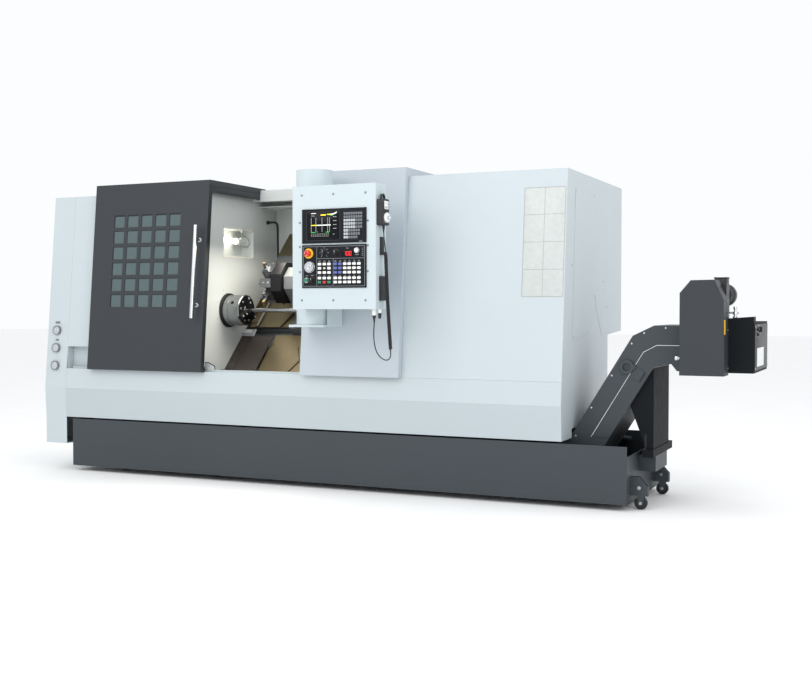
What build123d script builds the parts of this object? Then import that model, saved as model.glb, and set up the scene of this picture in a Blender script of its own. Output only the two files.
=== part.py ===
"""Slant-bed turning lathe with a sliding guard door, swivelling control pendant and chip conveyor.

Millimetres. While modelling: x runs right along the front from the chip tray's left end, y runs
away from the operator from the tray's front face, z is up from the floor. Everything is moved at
the end so that the origin is the middle of the overall base.
"""
from build123d import *
import math
import os

# Overall machine
SHEET = 4.0                 # wall of the enclosure's folded sheets
SEAM = 0.5                  # gap between neighbouring sheets
FIT = 0.3                   # running clearance between pieces that move
LEFT_X = -234.0             # left end of the enclosure
RIGHT_X = 3529.0            # right end of the enclosure
REAR_Y = 1019.0             # rear face of the enclosure
ROOF_Z = 1935.0             # top of the right enclosure
LEFT_ROOF_Z = ROOF_Z - 22   # top of the left enclosure
SKIRT_Z = 372.0             # lower edge of the front skirt
FOLD_Z = 574.0              # the skirt's most forward fold
SILL_Z = 710.0              # top of the skirt, sill of the work chamber
SKIRT_FOOT_Y = -3.0
FOLD_Y = -12.0
FRONT_TOP_Y = 113.0         # front of the right enclosure's top edge
COLUMN_W = 182.0
COLUMN_X = LEFT_X + COLUMN_W    # seam between the left column and the next panels
WALL_X = 1040.0             # chamber side of the headstock wall
DOOR_W = 935.0
DOOR_LAP = 61.0             # how far the open door still reaches past the headstock wall
DOOR_X0 = WALL_X + DOOR_LAP - DOOR_W
MIDDLE_X0 = 1846.0
MIDDLE_W = 681.0
MIDDLE_X1 = MIDDLE_X0 + MIDDLE_W
MIDDLE_TOP_Z = ROOF_Z + 51
HOOD_DEPTH_Y = REAR_Y - 239     # rear edge of the middle hood
PROUD = 45.0                # how far door and middle panel stand in front of the other panels

# Slanted bed and spindle
SPINDLE_Y = 382.0
SPINDLE_Z = 1115.0
SLANT = 45.0
BED_N = -330.0              # bed surface, below the spindle axis along the bed's normal
BED_X0 = 120.0
BED_X1 = RIGHT_X - 109
BED_S0 = -360.0
BED_S1 = 520.0
WAY_W = 60.0
WAY_H = 30.0
CARRIAGE_WAYS = (130.0, 360.0)
TAILSTOCK_WAYS = (-285.0, -95.0)

# Chip tray and conveyor
TRAY_OUT = 375.0            # how far the tray reaches out past the enclosure
TRAY_L = RIGHT_X + TRAY_OUT
TRAY_Z0 = 35.0
TRAY_H = 326.0
TRAY_STRIP_W = 215.0
TRAY_W = 880.0
TRAY_DEEP_X = 900.0
TRAY_END_DROP = 58.0
TRAY_WALL = 4.0
CONV_Y0 = 220.0
CONV_W = 450.0
CONV_T = 196.0
CONV_WALL = 5.0
CONV_X0 = TRAY_DEEP_X + 60
CONV_FOOT_X = RIGHT_X + 9.5     # where the incline starts
ELBOW_OUT = 98.0            # the lower elbow stands this far outside the tray
ELBOW_X = TRAY_L + ELBOW_OUT
ELBOW_Z = 795.0
CONV_HEAD_L = 408.0         # level run from the elbow to the end
CONV_HEAD_X = ELBOW_X + CONV_HEAD_L
CONV_HEAD_TOP = ELBOW_Z + 237
CONV_DROP_X = ELBOW_X + 131
CONV_DROP_Z = ELBOW_Z - 19

# Chuck and turning tools
CHUCK_R = 105.0
CHUCK_FACE_X = WALL_X + 145
CHUCK_L = 125.0
JAW_W = 25.4
BAR_R = 14.0
BAR_OUT = 1060.0            # bar's length outside the chuck
BAR_END_X = CHUCK_FACE_X + BAR_OUT
TURRET_S = 265.0
TURRET_R = 150.0
TURRET_X0 = CHUCK_FACE_X + 160
TURRET_L = 80.0
STATIONS = 8
TOOL_R = 200.0

# Control pendant
BOX_X0 = MIDDLE_X0 + 160
BOX_W = 546.0
BOX_Y0 = -400.0
BOX_D = 138.0
BOX_Z0 = 1124.0
BOX_H = 720.0
BOX_WALL = 3.0
DRUM_X = BOX_X0 + 6
DRUM_Y = BOX_Y0 + 260
DRUM_R = 112.0
DRUM_Z0 = BOX_Z0 - 94
DRUM_Z1 = BOX_Z0 + BOX_H + 120
POST_R = 40.0
POST_TOP_Z = DRUM_Z0 + 470
PLATE_T = 6.0               # front plates of the screen and of the key panel
SCREEN_W = 420.0
SCREEN_X0 = BOX_X0 + (BOX_W - SCREEN_W) / 2 + 6
SCREEN_H = 199.0
SCREEN_Z0 = BOX_Z0 + BOX_H - 138 - SCREEN_H
KEYS_H = 250.0
KEYS_Z0 = SCREEN_Z0 - 9 - KEYS_H

LEAN = (FRONT_TOP_Y - FOLD_Y) / (ROOF_Z - FOLD_Z)
LEAN_ANGLE = math.degrees(math.atan(LEAN))


def lean_y(z):
    """Front surface of the leaning panels at height z."""
    return FOLD_Y + (z - FOLD_Z) * LEAN


def yz(s, n):
    """Point in the y-z plane from slope coordinates about the spindle axis."""
    c = math.cos(math.radians(SLANT))
    d = math.sin(math.radians(SLANT))
    return (SPINDLE_Y + s * c - n * d, SPINDLE_Z + s * d + n * c)


def box(x0, x1, y0, y1, z0, z1):
    return Pos((x0 + x1) / 2, (y0 + y1) / 2, (z0 + z1) / 2) * Box(x1 - x0, y1 - y0, z1 - z0)


def prism_x(points, x0, x1):
    """Polygon of (y, z) points drawn out along x."""
    plane = Plane(origin=(x0, 0, 0), x_dir=(0, 1, 0), z_dir=(1, 0, 0))
    return extrude(plane * make_face(Polyline(*points, close=True)), x1 - x0)


def prism_y(points, y0, y1):
    """Polygon of (x, z) points drawn out along y."""
    plane = Plane(origin=(0, y1, 0), x_dir=(1, 0, 0), z_dir=(0, -1, 0))
    return extrude(plane * make_face(Polyline(*points, close=True)), y1 - y0)


def prism_z(points, z0, z1):
    return extrude(Pos(0, 0, z0) * make_face(Polyline(*points, close=True)), z1 - z0)


def slope_block(x0, x1, s0, s1, n0, n1):
    """Block square to the slanted bed."""
    return prism_x([yz(s0, n0), yz(s1, n0), yz(s1, n1), yz(s0, n1)], x0, x1)


def rod(start, axis, length, radius):
    return Plane(origin=start, z_dir=axis) * Pos(0, 0, length / 2) * Cylinder(radius, length)


def rod_x(x0, x1, y, z, radius):
    return rod((x0, y, z), (1, 0, 0), x1 - x0, radius)


def rod_y(y0, y1, x, z, radius):
    return rod((x, y0, z), (0, 1, 0), y1 - y0, radius)


def rod_z(z0, z1, x, y, radius):
    return rod((x, y, z0), (0, 0, 1), z1 - z0, radius)


def thicken(path, t):
    """Closed outline of a folded sheet: the path and its mitred copy t to the left."""
    pts = [Vector(*p) for p in path]
    dirs = [(b - a).normalized() for a, b in zip(pts, pts[1:])]
    normals = [Vector(-d.Y, d.X) for d in dirs]
    moved = [pts[0] + normals[0] * t]
    for p, a, b in zip(pts[1:], normals, normals[1:]):
        moved.append(p + (a + b) * (t / (1 + a.dot(b))))
    moved.append(pts[-1] + normals[-1] * t)
    return [(p.X, p.Y) for p in pts + moved[::-1]]


def lean_plane(z, proud=0.0):
    """Frame on the leaning front: x right, y up the slope, z outwards."""
    a = math.radians(LEAN_ANGLE)
    origin = (0, lean_y(z) - proud / math.cos(a), z)
    return Plane(origin=origin, x_dir=(1, 0, 0), z_dir=(0, -math.cos(a), math.sin(a)))


def up(dz):
    """Length up the leaning front that rises by dz."""
    return dz / math.cos(math.radians(LEAN_ANGLE))


def fused(*shapes):
    out = shapes[0]
    for s in shapes[1:]:
        out = out + s
    return out


# Base
BED_REAR_W = 115.0
BED_BASE_Z = 60.0
BED_WALL = 38.0
BED_RIB = 32.0
BED_BAYS = 7
BED_CEILING_Z = 480.0
PEDESTAL_X1 = 700.0
PEDESTAL_Y0 = 230.0
FOOT_R = 45.0
FOOT_T = 18.0
FOOT_STEM_R = 16.0
FOOT_IN = 80.0              # a foot stands this far inside the casting's end
FRONT_FEET_Y = PEDESTAL_Y0 + 70
REAR_FEET_Y = REAR_Y - SHEET - BED_REAR_W / 2
BED_FEET = [(BED_X0 + FOOT_IN, FRONT_FEET_Y), (PEDESTAL_X1 - FOOT_IN, FRONT_FEET_Y)]
BED_FEET += [(BED_X0 + FOOT_IN + i * (BED_X1 - BED_X0 - 2 * FOOT_IN) / 3, REAR_FEET_Y) for i in range(4)]


def bed_casting():
    """Slanted bed with its guideways, on the base that it is bolted to: one solid each."""
    rear = REAR_Y - SHEET
    front = yz(BED_S0, BED_N)
    back = yz(BED_S1, BED_N)
    inner = rear - BED_REAR_W
    outline = [front, back, (rear, back[1]), (rear, BED_CEILING_Z), (front[0] + 60, BED_CEILING_Z),
               (front[0], BED_CEILING_Z + 60)]
    bed = prism_x(outline, BED_X0, BED_X1)
    for s in CARRIAGE_WAYS + TAILSTOCK_WAYS:
        bed += slope_block(WALL_X + 10, BED_X1, s - WAY_W / 2, s + WAY_W / 2, BED_N - 1, BED_N + WAY_H)
    base = box(BED_X0, BED_X1, inner, rear, BED_BASE_Z, BED_CEILING_Z)
    base += box(BED_X0, PEDESTAL_X1, PEDESTAL_Y0, inner, BED_BASE_Z, BED_CEILING_Z)
    hollow = offset(make_face(Polyline(*outline, close=True)), -BED_WALL, kind=Kind.INTERSECTION)
    bay = (BED_X1 - BED_X0 - BED_RIB) / BED_BAYS
    for i in range(BED_BAYS):
        x = BED_X0 + BED_RIB + i * bay
        plane = Plane(origin=(x, 0, 0), x_dir=(0, 1, 0), z_dir=(1, 0, 0))
        bed -= extrude(plane * hollow, bay - BED_RIB)
        window = (x + 40, x + bay - BED_RIB - 40, rear - BED_WALL - 1, rear + 1)
        bed -= box(*window, BED_CEILING_Z + 70, 860)
        base -= box(*window, BED_BASE_Z + 120, BED_CEILING_Z - 70)
    return Compound([bed, base])


def levelling_feet():
    feet = [rod_z(0, FOOT_T, x, y, FOOT_R) + rod_z(FOOT_T, BED_BASE_Z, x, y, FOOT_STEM_R)
            for x, y in BED_FEET]
    return fused(*feet)


# Chip tray with its casters
WHEEL_R = 36.0
WHEEL_W = 28.0
AXLE_R = 6.0
CASTER_X = TRAY_L + 54
CASTER_YS = (118.0, CONV_Y0 + CONV_W + 20)
CHEEK_T = 5.0
CHEEK_OUT = 95.0
REST_Y0 = CONV_Y0 + 80
REST_Y1 = CONV_Y0 + CONV_W - 60
BEAM_Z0 = 281.0             # underside of the conveyor leg's cross beam
STAY_W = 40.0
STAY_XS = (BED_X0 + 110, PEDESTAL_X1 - 140)     # stops that lie against the bed's pedestal


def chip_tray():
    t = TRAY_WALL
    top = TRAY_Z0 + TRAY_H
    outer = [(0, 0), (TRAY_L, 0), (TRAY_L, TRAY_W), (TRAY_DEEP_X, TRAY_W),
             (TRAY_DEEP_X, TRAY_STRIP_W), (0, TRAY_STRIP_W)]
    inner = [(t, t), (TRAY_L - t, t), (TRAY_L - t, TRAY_W - t), (TRAY_DEEP_X + t, TRAY_W - t),
             (TRAY_DEEP_X + t, TRAY_STRIP_W - t), (t, TRAY_STRIP_W - t)]
    tray = prism_z(outer, TRAY_Z0, top) - prism_z(inner, TRAY_Z0 + t, top + 1)
    tray -= box(TRAY_L - t - 1, TRAY_L + 1, t, TRAY_W + 1, top - TRAY_END_DROP, top + 1)
    pad_r = 22
    for x, y in ((300, TRAY_STRIP_W - pad_r - 3), (TRAY_DEEP_X + 60, 250), (TRAY_DEEP_X + 60, TRAY_W - 40)):
        tray += rod_z(0, TRAY_Z0, x, y, pad_r)
    for y in CASTER_YS:
        tray += caster_bracket(y)
    tray += box(TRAY_L, TRAY_L + CHEEK_OUT + 1, REST_Y0, REST_Y1, BEAM_Z0 - 91, BEAM_Z0)
    for x in STAY_XS:
        tray += box(x, x + STAY_W, TRAY_STRIP_W, PEDESTAL_Y0, 250, 290)
    return tray


def caster_bracket(y):
    low = 2 * WHEEL_R + 6
    end = TRAY_L + CHEEK_OUT
    side = [(TRAY_L, low), (TRAY_L, low + 106), (end - 49, low + 106), (end, low + 52), (end, low),
            (CASTER_X + 20, low), (CASTER_X + 13, WHEEL_R - 12), (CASTER_X - 13, WHEEL_R - 12),
            (CASTER_X - 20, low)]
    gap = WHEEL_W / 2 + FIT
    bracket = prism_y(side, y - gap - CHEEK_T, y - gap) + prism_y(side, y + gap, y + gap + CHEEK_T)
    bracket += box(TRAY_L, end, y - gap - CHEEK_T, y + gap + CHEEK_T, low, low + 52)
    bracket += rod_y(y - gap - CHEEK_T, y + gap + CHEEK_T, CASTER_X, WHEEL_R, AXLE_R)
    return bracket


def caster_wheel(y):
    wheel = rod_y(y - WHEEL_W / 2, y + WHEEL_W / 2, CASTER_X, WHEEL_R, WHEEL_R)
    wheel = fillet(wheel.edges().filter_by(GeomType.CIRCLE), 4)
    return wheel - rod_y(y - WHEEL_W, y + WHEEL_W, CASTER_X, WHEEL_R, AXLE_R + 0.05)


# Enclosure
RECESS_Z = 863.0            # underside of the left front panel, above the door's lower rail
RECESS_D = 70.0
RAIL_Y0 = 40.0
RAIL_Y1 = 52.0
RAIL_H = 14.0
CHUTE = (225.0, 420.0)
LAMP_Y0 = 328.0
LAMP_Y1 = 695.0
LAMP_Z0 = 1490.0
LAMP_Z1 = 1675.0
LAMP_D = 100.0
NOSE_HOLE_R = 118.0
NOSE_BOLTS = 8
NOSE_BOLT_R = 150.0
GUARD_N = -246.0            # top of the slanted guard plate, along the bed's normal
GUARD_X1 = WALL_X + 250
COVER_FRAME = ((266, ROOF_Z - 103), (691, ROOF_Z - 100), (702, 1219), (515, 970), (209, 951))


def front_skirt():
    path = [(32, SKIRT_Z), (SKIRT_FOOT_Y, SKIRT_Z), (FOLD_Y, FOLD_Z), (lean_y(SILL_Z), SILL_Z),
            (RECESS_D - 8, SILL_Z), CHUTE]
    sheet = prism_x(thicken(path, -SHEET), COLUMN_X, RIGHT_X - SHEET)
    rail = box(COLUMN_X + 20, MIDDLE_X0 + 60, RAIL_Y0, RAIL_Y1, SILL_Z, SILL_Z + RAIL_H)
    return sheet + rail


def left_end_cover():
    foot = 185.0
    outer = [(SKIRT_FOOT_Y, foot), (SKIRT_FOOT_Y, SKIRT_Z), (FOLD_Y, FOLD_Z),
             (lean_y(LEFT_ROOF_Z), LEFT_ROOF_Z), (REAR_Y, LEFT_ROOF_Z), (REAR_Y, foot)]
    face = make_face(Polyline(*outer, close=True))
    inner = offset(face, -SHEET, kind=Kind.INTERSECTION)
    plane = Plane(origin=(LEFT_X, 0, 0), x_dir=(0, 1, 0), z_dir=(1, 0, 0))
    width = COLUMN_X - SEAM - LEFT_X
    shell = extrude(plane * face, width)
    return shell - extrude(plane.offset(SHEET) * inner, width)


def left_front_panel():
    z0 = SILL_Z
    path = [(RECESS_D, z0), (RECESS_D, RECESS_Z), (lean_y(RECESS_Z), RECESS_Z),
            (lean_y(LEFT_ROOF_Z), LEFT_ROOF_Z), (REAR_Y - SHEET, LEFT_ROOF_Z)]
    sheet = prism_x(thicken(path, -SHEET), COLUMN_X, WALL_X - SHEET)
    end = [(lean_y(z0) + 8, z0), (RECESS_D, z0), (RECESS_D, RECESS_Z), (lean_y(RECESS_Z), RECESS_Z)]
    return sheet + prism_x(end, COLUMN_X, COLUMN_X + SHEET)


def middle_panel():
    z0 = SILL_Z + 1
    bottom = (lean_y(z0) - PROUD, z0)
    top = (lean_y(MIDDLE_TOP_Z) - PROUD, MIDDLE_TOP_Z)
    path = [bottom, top, (HOOD_DEPTH_Y, MIDDLE_TOP_Z)]
    sheet = prism_x(thicken(path, -SHEET), MIDDLE_X0, MIDDLE_X1)
    side = [bottom, top, (HOOD_DEPTH_Y, MIDDLE_TOP_Z), (HOOD_DEPTH_Y, ROOF_Z + 1),
            (lean_y(ROOF_Z) - 1, ROOF_Z + 1), (lean_y(z0) + RAIL_Y0 - 4, z0)]
    sheet += prism_x(side, MIDDLE_X1 - SHEET, MIDDLE_X1)
    sheet += box(MIDDLE_X0, MIDDLE_X1, HOOD_DEPTH_Y - SHEET, HOOD_DEPTH_Y, ROOF_Z + 1, MIDDLE_TOP_Z)
    return sheet


def right_enclosure():
    z0 = SILL_Z + SEAM
    path = [(lean_y(z0), z0), (lean_y(ROOF_Z), ROOF_Z), (REAR_Y - SHEET, ROOF_Z)]
    shell = prism_x(thicken(path, -SHEET), MIDDLE_X1 + SEAM, RIGHT_X)
    side = [(SKIRT_FOOT_Y, SKIRT_Z), (FOLD_Y, FOLD_Z), (lean_y(ROOF_Z), ROOF_Z),
            (REAR_Y, ROOF_Z), (REAR_Y, SKIRT_Z)]
    shell += prism_x(side, RIGHT_X - SHEET, RIGHT_X)
    shell -= box(RIGHT_X - SHEET - 1, RIGHT_X + 1, CONV_Y0 - 14, CONV_Y0 + CONV_W + 14,
                 SKIRT_Z - 1, SKIRT_Z + 55)
    cover = prism_x(COVER_FRAME, RIGHT_X, RIGHT_X + 3)
    for (y, z) in COVER_FRAME:
        cover += rod_x(RIGHT_X + 3, RIGHT_X + 6, y + (14 if y < 600 else -14), z + (-14 if z > 1000 else 14), 5)
    return shell + cover


def rear_panel():
    wall = box(COLUMN_X, RIGHT_X - SHEET, REAR_Y - SHEET, REAR_Y, SKIRT_Z, LEFT_ROOF_Z - SHEET)
    wall += box(MIDDLE_X1 + SEAM, RIGHT_X - SHEET, REAR_Y - SHEET, REAR_Y, LEFT_ROOF_Z - SHEET, ROOF_Z - SHEET)
    beam_top = MIDDLE_TOP_Z - 21
    beam_low = LEFT_ROOF_Z - 63
    ledge = beam_low + 42
    front = HOOD_DEPTH_Y - 76
    y_mid = front + 56
    duct_y = REAR_Y - 119
    duct_low = LEFT_ROOF_Z - 178
    x0 = WALL_X
    x1 = MIDDLE_X1 - SHEET
    x_duct = x0 + 290
    inside = REAR_Y - SHEET
    wall += prism_x([(front, ledge - 7), (front, beam_top), (y_mid, beam_top), (y_mid, ledge),
                     (duct_y, ledge), (duct_y, beam_low), (y_mid, beam_low), (y_mid, ledge - 7)], x0, x1)
    wall += box(x_duct, x1, duct_y, inside, duct_low, ledge)
    wall += box(x0, x_duct, duct_y, inside, beam_low, ledge)
    t = SHEET
    wall -= box(x_duct + t, x1 - t, duct_y + t, inside, duct_low + t, ledge - t)
    wall -= box(x0 + t, x_duct - t, duct_y + t, inside, beam_low + t, ledge - t)
    wall -= box(x0 + t, x1 - t, y_mid - t, duct_y - t, beam_low + t, ledge - t)
    return wall - box(x0 + t, x1 - t, front + t, y_mid - t, ledge - 7 + t, beam_top - t)


def headstock_wall():
    y_slope0 = yz(0, GUARD_N)
    drop = y_slope0[1] - y_slope0[0]
    z0 = SILL_Z + SEAM
    rear = REAR_Y - SHEET
    top = LEFT_ROOF_Z - SHEET
    outline = [(RECESS_D, z0), (z0 - drop, z0), (rear, rear + drop), (rear, top),
               (lean_y(top) + SHEET + 0.5, top), (lean_y(RECESS_Z) + SHEET + 0.5, RECESS_Z - SHEET),
               (RECESS_D, RECESS_Z - SHEET)]
    wall = prism_x(outline, WALL_X - SHEET, WALL_X)
    wall -= rod_x(WALL_X - 10, WALL_X + 10, SPINDLE_Y, SPINDLE_Z, NOSE_HOLE_R)
    for i in range(NOSE_BOLTS):
        a = math.radians(22.5 + i * 360 / NOSE_BOLTS)
        y = SPINDLE_Y + NOSE_BOLT_R * math.cos(a)
        z = SPINDLE_Z + NOSE_BOLT_R * math.sin(a)
        wall -= rod_x(WALL_X - 10, WALL_X + 10, y, z, 4.5)
    t = SHEET
    recess = box(WALL_X - LAMP_D - t, WALL_X - t, LAMP_Y0 - t, LAMP_Y1 + t, LAMP_Z0 - t, LAMP_Z1 + t)
    hollow = box(WALL_X - LAMP_D, WALL_X + 1, LAMP_Y0, LAMP_Y1, LAMP_Z0, LAMP_Z1)
    return wall + recess - hollow


def work_light():
    x = WALL_X - 58
    z = (LAMP_Z0 + LAMP_Z1) / 2 + 18
    tube = rod_y(LAMP_Y0 + 22, LAMP_Y1 - 22, x, z, 19)
    ends = [rod_y(LAMP_Y0, LAMP_Y0 + 22, x, z, 24), rod_y(LAMP_Y1 - 22, LAMP_Y1, x, z, 24)]
    return fused(tube, *ends)


def chip_guard():
    plate = slope_block(WALL_X - SHEET, GUARD_X1, -343, -12, GUARD_N - SHEET, GUARD_N)
    ridge = slope_block(WALL_X + 60, WALL_X + 72, -343, -12, GUARD_N, GUARD_N + 5)
    return plate + ridge


CABINET_W = 1199.0
CABINET_X0 = RIGHT_X - CABINET_W
CABINET_DEPTH = 357.0
CABINET_Z0 = 959.0
CABINET_REAR_Z0 = CABINET_Z0 + 20
CABINET_DOOR_X1 = RIGHT_X - 20
CABINET_DOOR_W = 579.0
CABINET_DOOR_X0 = CABINET_DOOR_X1 - CABINET_DOOR_W
CABINET_DOOR_T = 18.0
CABINET_DOOR_Z0 = CABINET_REAR_Z0 + 21
CABINET_DOOR_Z1 = ROOF_Z - 20
LATCH_H = 120.0
HINGE_R = 7.0
HINGE_H = 60.0
HINGE_ZS = (CABINET_DOOR_Z0 + 90, CABINET_DOOR_Z1 - 150)


def electric_cabinet():
    y1 = REAR_Y + CABINET_DEPTH
    outline = [(REAR_Y, CABINET_Z0), (REAR_Y, ROOF_Z), (y1, ROOF_Z), (y1, CABINET_REAR_Z0)]
    face = make_face(Polyline(*outline, close=True))
    inner = offset(face, -SHEET, kind=Kind.INTERSECTION)
    plane = Plane(origin=(CABINET_X0, 0, 0), x_dir=(0, 1, 0), z_dir=(1, 0, 0))
    width = RIGHT_X - CABINET_X0
    case = extrude(plane * face, width) - extrude(plane.offset(SHEET) * inner, width - 2 * SHEET)
    case -= box(CABINET_DOOR_X0 + 20, CABINET_DOOR_X1 - 20, y1 - 10, y1 + 1, CABINET_DOOR_Z0 + 20,
                CABINET_DOOR_Z1 - 20)
    case += box(CABINET_X0 + 60, CABINET_DOOR_X0 - 25, y1, y1 + 3, CABINET_DOOR_Z0, CABINET_DOOR_Z1)
    hx, hy = hinge_axis()
    for z in HINGE_ZS:
        case += rod_z(z - 30, z, hx, hy, HINGE_R) + box(hx - 5, hx + 5, y1 - 1, hy, z - 30, z)
    return case


def hinge_axis():
    return (CABINET_DOOR_X1 + HINGE_R, REAR_Y + CABINET_DEPTH + HINGE_R + FIT)


def cabinet_door():
    y0 = REAR_Y + CABINET_DEPTH + FIT
    hx, hy = hinge_axis()
    door = box(CABINET_DOOR_X0, CABINET_DOOR_X1, y0, y0 + CABINET_DOOR_T, CABINET_DOOR_Z0, CABINET_DOOR_Z1)
    door -= box(CABINET_DOOR_X0 + 3, CABINET_DOOR_X1 - 3, y0 - 1, y0 + CABINET_DOOR_T - 3,
                CABINET_DOOR_Z0 + 3, CABINET_DOOR_Z1 - 3)
    for z in HINGE_ZS:
        door += rod_z(z, z + HINGE_H, hx, hy, HINGE_R)
        door += box(CABINET_DOOR_X1 - 3, hx, y0, y0 + 4, z, z + HINGE_H)
    z_mid = (CABINET_DOOR_Z0 + CABINET_DOOR_Z1) / 2
    door += box(CABINET_DOOR_X0 + 30, CABINET_DOOR_X0 + 55, y0 + CABINET_DOOR_T, y0 + CABINET_DOOR_T + 12,
                z_mid - LATCH_H / 2, z_mid + LATCH_H / 2)
    return door


# Spindle line
HEAD_X1 = WALL_X - 20
HEAD_L = 500.0
HEAD_X0 = HEAD_X1 - HEAD_L
SHAFT_R = 55.0
FLANGE_R = 86.0
NOSE_R = 116.0


def headstock_casting():
    base = BED_N
    outline = [yz(-190, base), yz(190, base), yz(190, base + 50), yz(150, base + 90), yz(150, 80),
               yz(80, 150), yz(-80, 150), yz(-150, 80), yz(-150, base + 90), yz(-190, base + 50)]
    casting = prism_x(outline, HEAD_X0, HEAD_X1)
    casting += rod_x(HEAD_X1, WALL_X + 6, SPINDLE_Y, SPINDLE_Z, NOSE_R)
    casting -= rod_x(HEAD_X0 - 1, WALL_X + 10, SPINDLE_Y, SPINDLE_Z, SHAFT_R + 0.05)
    casting -= rod_x(WALL_X - 12, WALL_X + 10, SPINDLE_Y, SPINDLE_Z, FLANGE_R + FIT)
    return casting


def spindle_shaft():
    shaft = rod_x(HEAD_X0 - 90, WALL_X - 11, SPINDLE_Y, SPINDLE_Z, SHAFT_R)
    shaft += rod_x(WALL_X - 11, CHUCK_FACE_X - CHUCK_L, SPINDLE_Y, SPINDLE_Z, FLANGE_R)
    shaft += rod_x(HEAD_X0 - 84, HEAD_X0 - 10, SPINDLE_Y, SPINDLE_Z, 100)
    return shaft - rod_x(HEAD_X0 - 100, CHUCK_FACE_X, SPINDLE_Y, SPINDLE_Z, 26)


JAW_SLOT_D = 8.0
JAW_OUTER_R = 98.0


def around_spindle(shape, angle):
    return Pos(0, SPINDLE_Y, SPINDLE_Z) * Rot(angle, 0, 0) * shape


def chuck_body():
    x0 = CHUCK_FACE_X - CHUCK_L
    body = rod_x(x0, CHUCK_FACE_X, SPINDLE_Y, SPINDLE_Z, CHUCK_R)
    body = chamfer(body.edges().filter_by(GeomType.CIRCLE).sort_by(Axis.X)[-1], 4)
    groove = rod_x(x0 + 34, x0 + 38, SPINDLE_Y, SPINDLE_Z, CHUCK_R + 1)
    groove -= rod_x(x0 + 34, x0 + 38, SPINDLE_Y, SPINDLE_Z, CHUCK_R - 2)
    body -= groove
    body -= rod_x(x0 - 1, CHUCK_FACE_X - 35, SPINDLE_Y, SPINDLE_Z, 26)
    body -= rod_x(x0 - 1, CHUCK_FACE_X + 1, SPINDLE_Y, SPINDLE_Z, BAR_R)
    half = JAW_W / 2 + FIT
    slot = box(CHUCK_FACE_X - JAW_SLOT_D, CHUCK_FACE_X + 1, -half, half, 0, CHUCK_R + 1)
    for i in range(3):
        body -= around_spindle(slot, i * 120)
    return body


def chuck_jaw(i):
    half = JAW_W / 2
    x0 = CHUCK_FACE_X - JAW_SLOT_D + FIT
    steps = [(x0, BAR_R + FIT), (CHUCK_FACE_X + 45, BAR_R + FIT), (CHUCK_FACE_X + 45, 40),
             (CHUCK_FACE_X + 32, 40), (CHUCK_FACE_X + 32, 62), (CHUCK_FACE_X + 20, 62),
             (CHUCK_FACE_X + 20, JAW_OUTER_R), (x0, JAW_OUTER_R)]
    return around_spindle(prism_y(steps, -half, half), i * 120)


def bar_stock():
    bar = rod_x(CHUCK_FACE_X - 70, BAR_END_X, SPINDLE_Y, SPINDLE_Z, BAR_R)
    r = 5.0
    depth = r / math.tan(math.radians(30))
    cone = Plane(origin=(BAR_END_X - depth / 2, SPINDLE_Y, SPINDLE_Z), z_dir=(1, 0, 0)) * Cone(0, r, depth)
    return bar - cone


# Carriage, covers and turret
COVER_S0 = 95.0
COVER_S1 = 385.0
COVER_T = 4.0
COVER_N = -262.0            # top of the fixed upper way cover
COVER_GAP = 0.5
COVER_X0 = WALL_X + 75
COVER_X1 = WALL_X + 320
STAGE_X0 = WALL_X + 5
SADDLE_X0 = TURRET_X0 + 55
SADDLE_L = 320.0
SADDLE_X1 = SADDLE_X0 + SADDLE_L
RIGHT_COVER_X1 = SADDLE_X1 + 795
GUIDE_W = 40.0              # rails of the cross slide
GUIDE_XS = (SADDLE_X0 + 50, SADDLE_X1 - 50 - GUIDE_W)
CHEVRON = 60.0
LOW_COVERS = 3
LOW_PITCH = 310.0
LOW_LAP = 80.0


def chevron_plate(x0, x1, s0, s1, n0, n1, tip=CHEVRON):
    """Plate on the slope whose right edge is a chevron pointing right."""
    mid = (s0 + s1) / 2
    c = math.radians(SLANT)
    plane = Plane(origin=(0, *yz(0, n0)), x_dir=(1, 0, 0), z_dir=(0, -math.sin(c), math.cos(c)))
    outline = [(x0, s0), (x1 - tip, s0), (x1, mid), (x1 - tip, s1), (x0, s1)]
    return extrude(plane * make_face(Polyline(*outline, close=True)), n1 - n0)


def fixed_way_covers():
    n1 = COVER_N
    upper = chevron_plate(COVER_X0, COVER_X1, COVER_S0, COVER_S1, n1 - COVER_T, n1)
    upper += slope_block(COVER_X0, COVER_X0 + 8, COVER_S0, COVER_S1, n1, n1 + 14)
    for s in (COVER_S0 + 40, COVER_S1 - 60):
        upper += slope_block(WALL_X, COVER_X0 + 8, s, s + 30, n1, n1 + COVER_T)
    upper += slope_block(WALL_X, WALL_X + 5, COVER_S0 + 40, COVER_S1 - 30, n1, n1 + 30)
    low = []
    for i in range(LOW_COVERS):
        x0 = GUARD_X1 + i * LOW_PITCH - (LOW_LAP if i else 0)
        x1 = GUARD_X1 + LOW_PITCH * (i + 1) - LOW_LAP + CHEVRON
        n = GUARD_N - 22 - i * COVER_T
        low.append(chevron_plate(x0, x1, -334, -88, n - COVER_T, n))
        low.append(chevron_plate(x0, x1, -84, 31, n - COVER_T - 8, n - 8, 45))
    rib_n = BED_N + WAY_H
    for x in (GUARD_X1 + 2, GUARD_X1 + LOW_PITCH + 250, GUARD_X1 + LOW_COVERS * LOW_PITCH - LOW_LAP - 60):
        low.append(slope_block(x, x + 8, -330, -65, rib_n, GUARD_N - 26))
        low.append(slope_block(x, x + 8, -90, 28, rib_n, GUARD_N - 34))
    low.append(slope_block(GUARD_X1, x + 8, -90, -83, GUARD_N - 44, GUARD_N - 24))
    return upper + fused(*low)


def way_cover_stage():
    n1 = COVER_N - COVER_T - COVER_GAP
    return chevron_plate(STAGE_X0, COVER_X1, COVER_S0 + 4, COVER_S1 - 4, n1 - COVER_T, n1)


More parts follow.
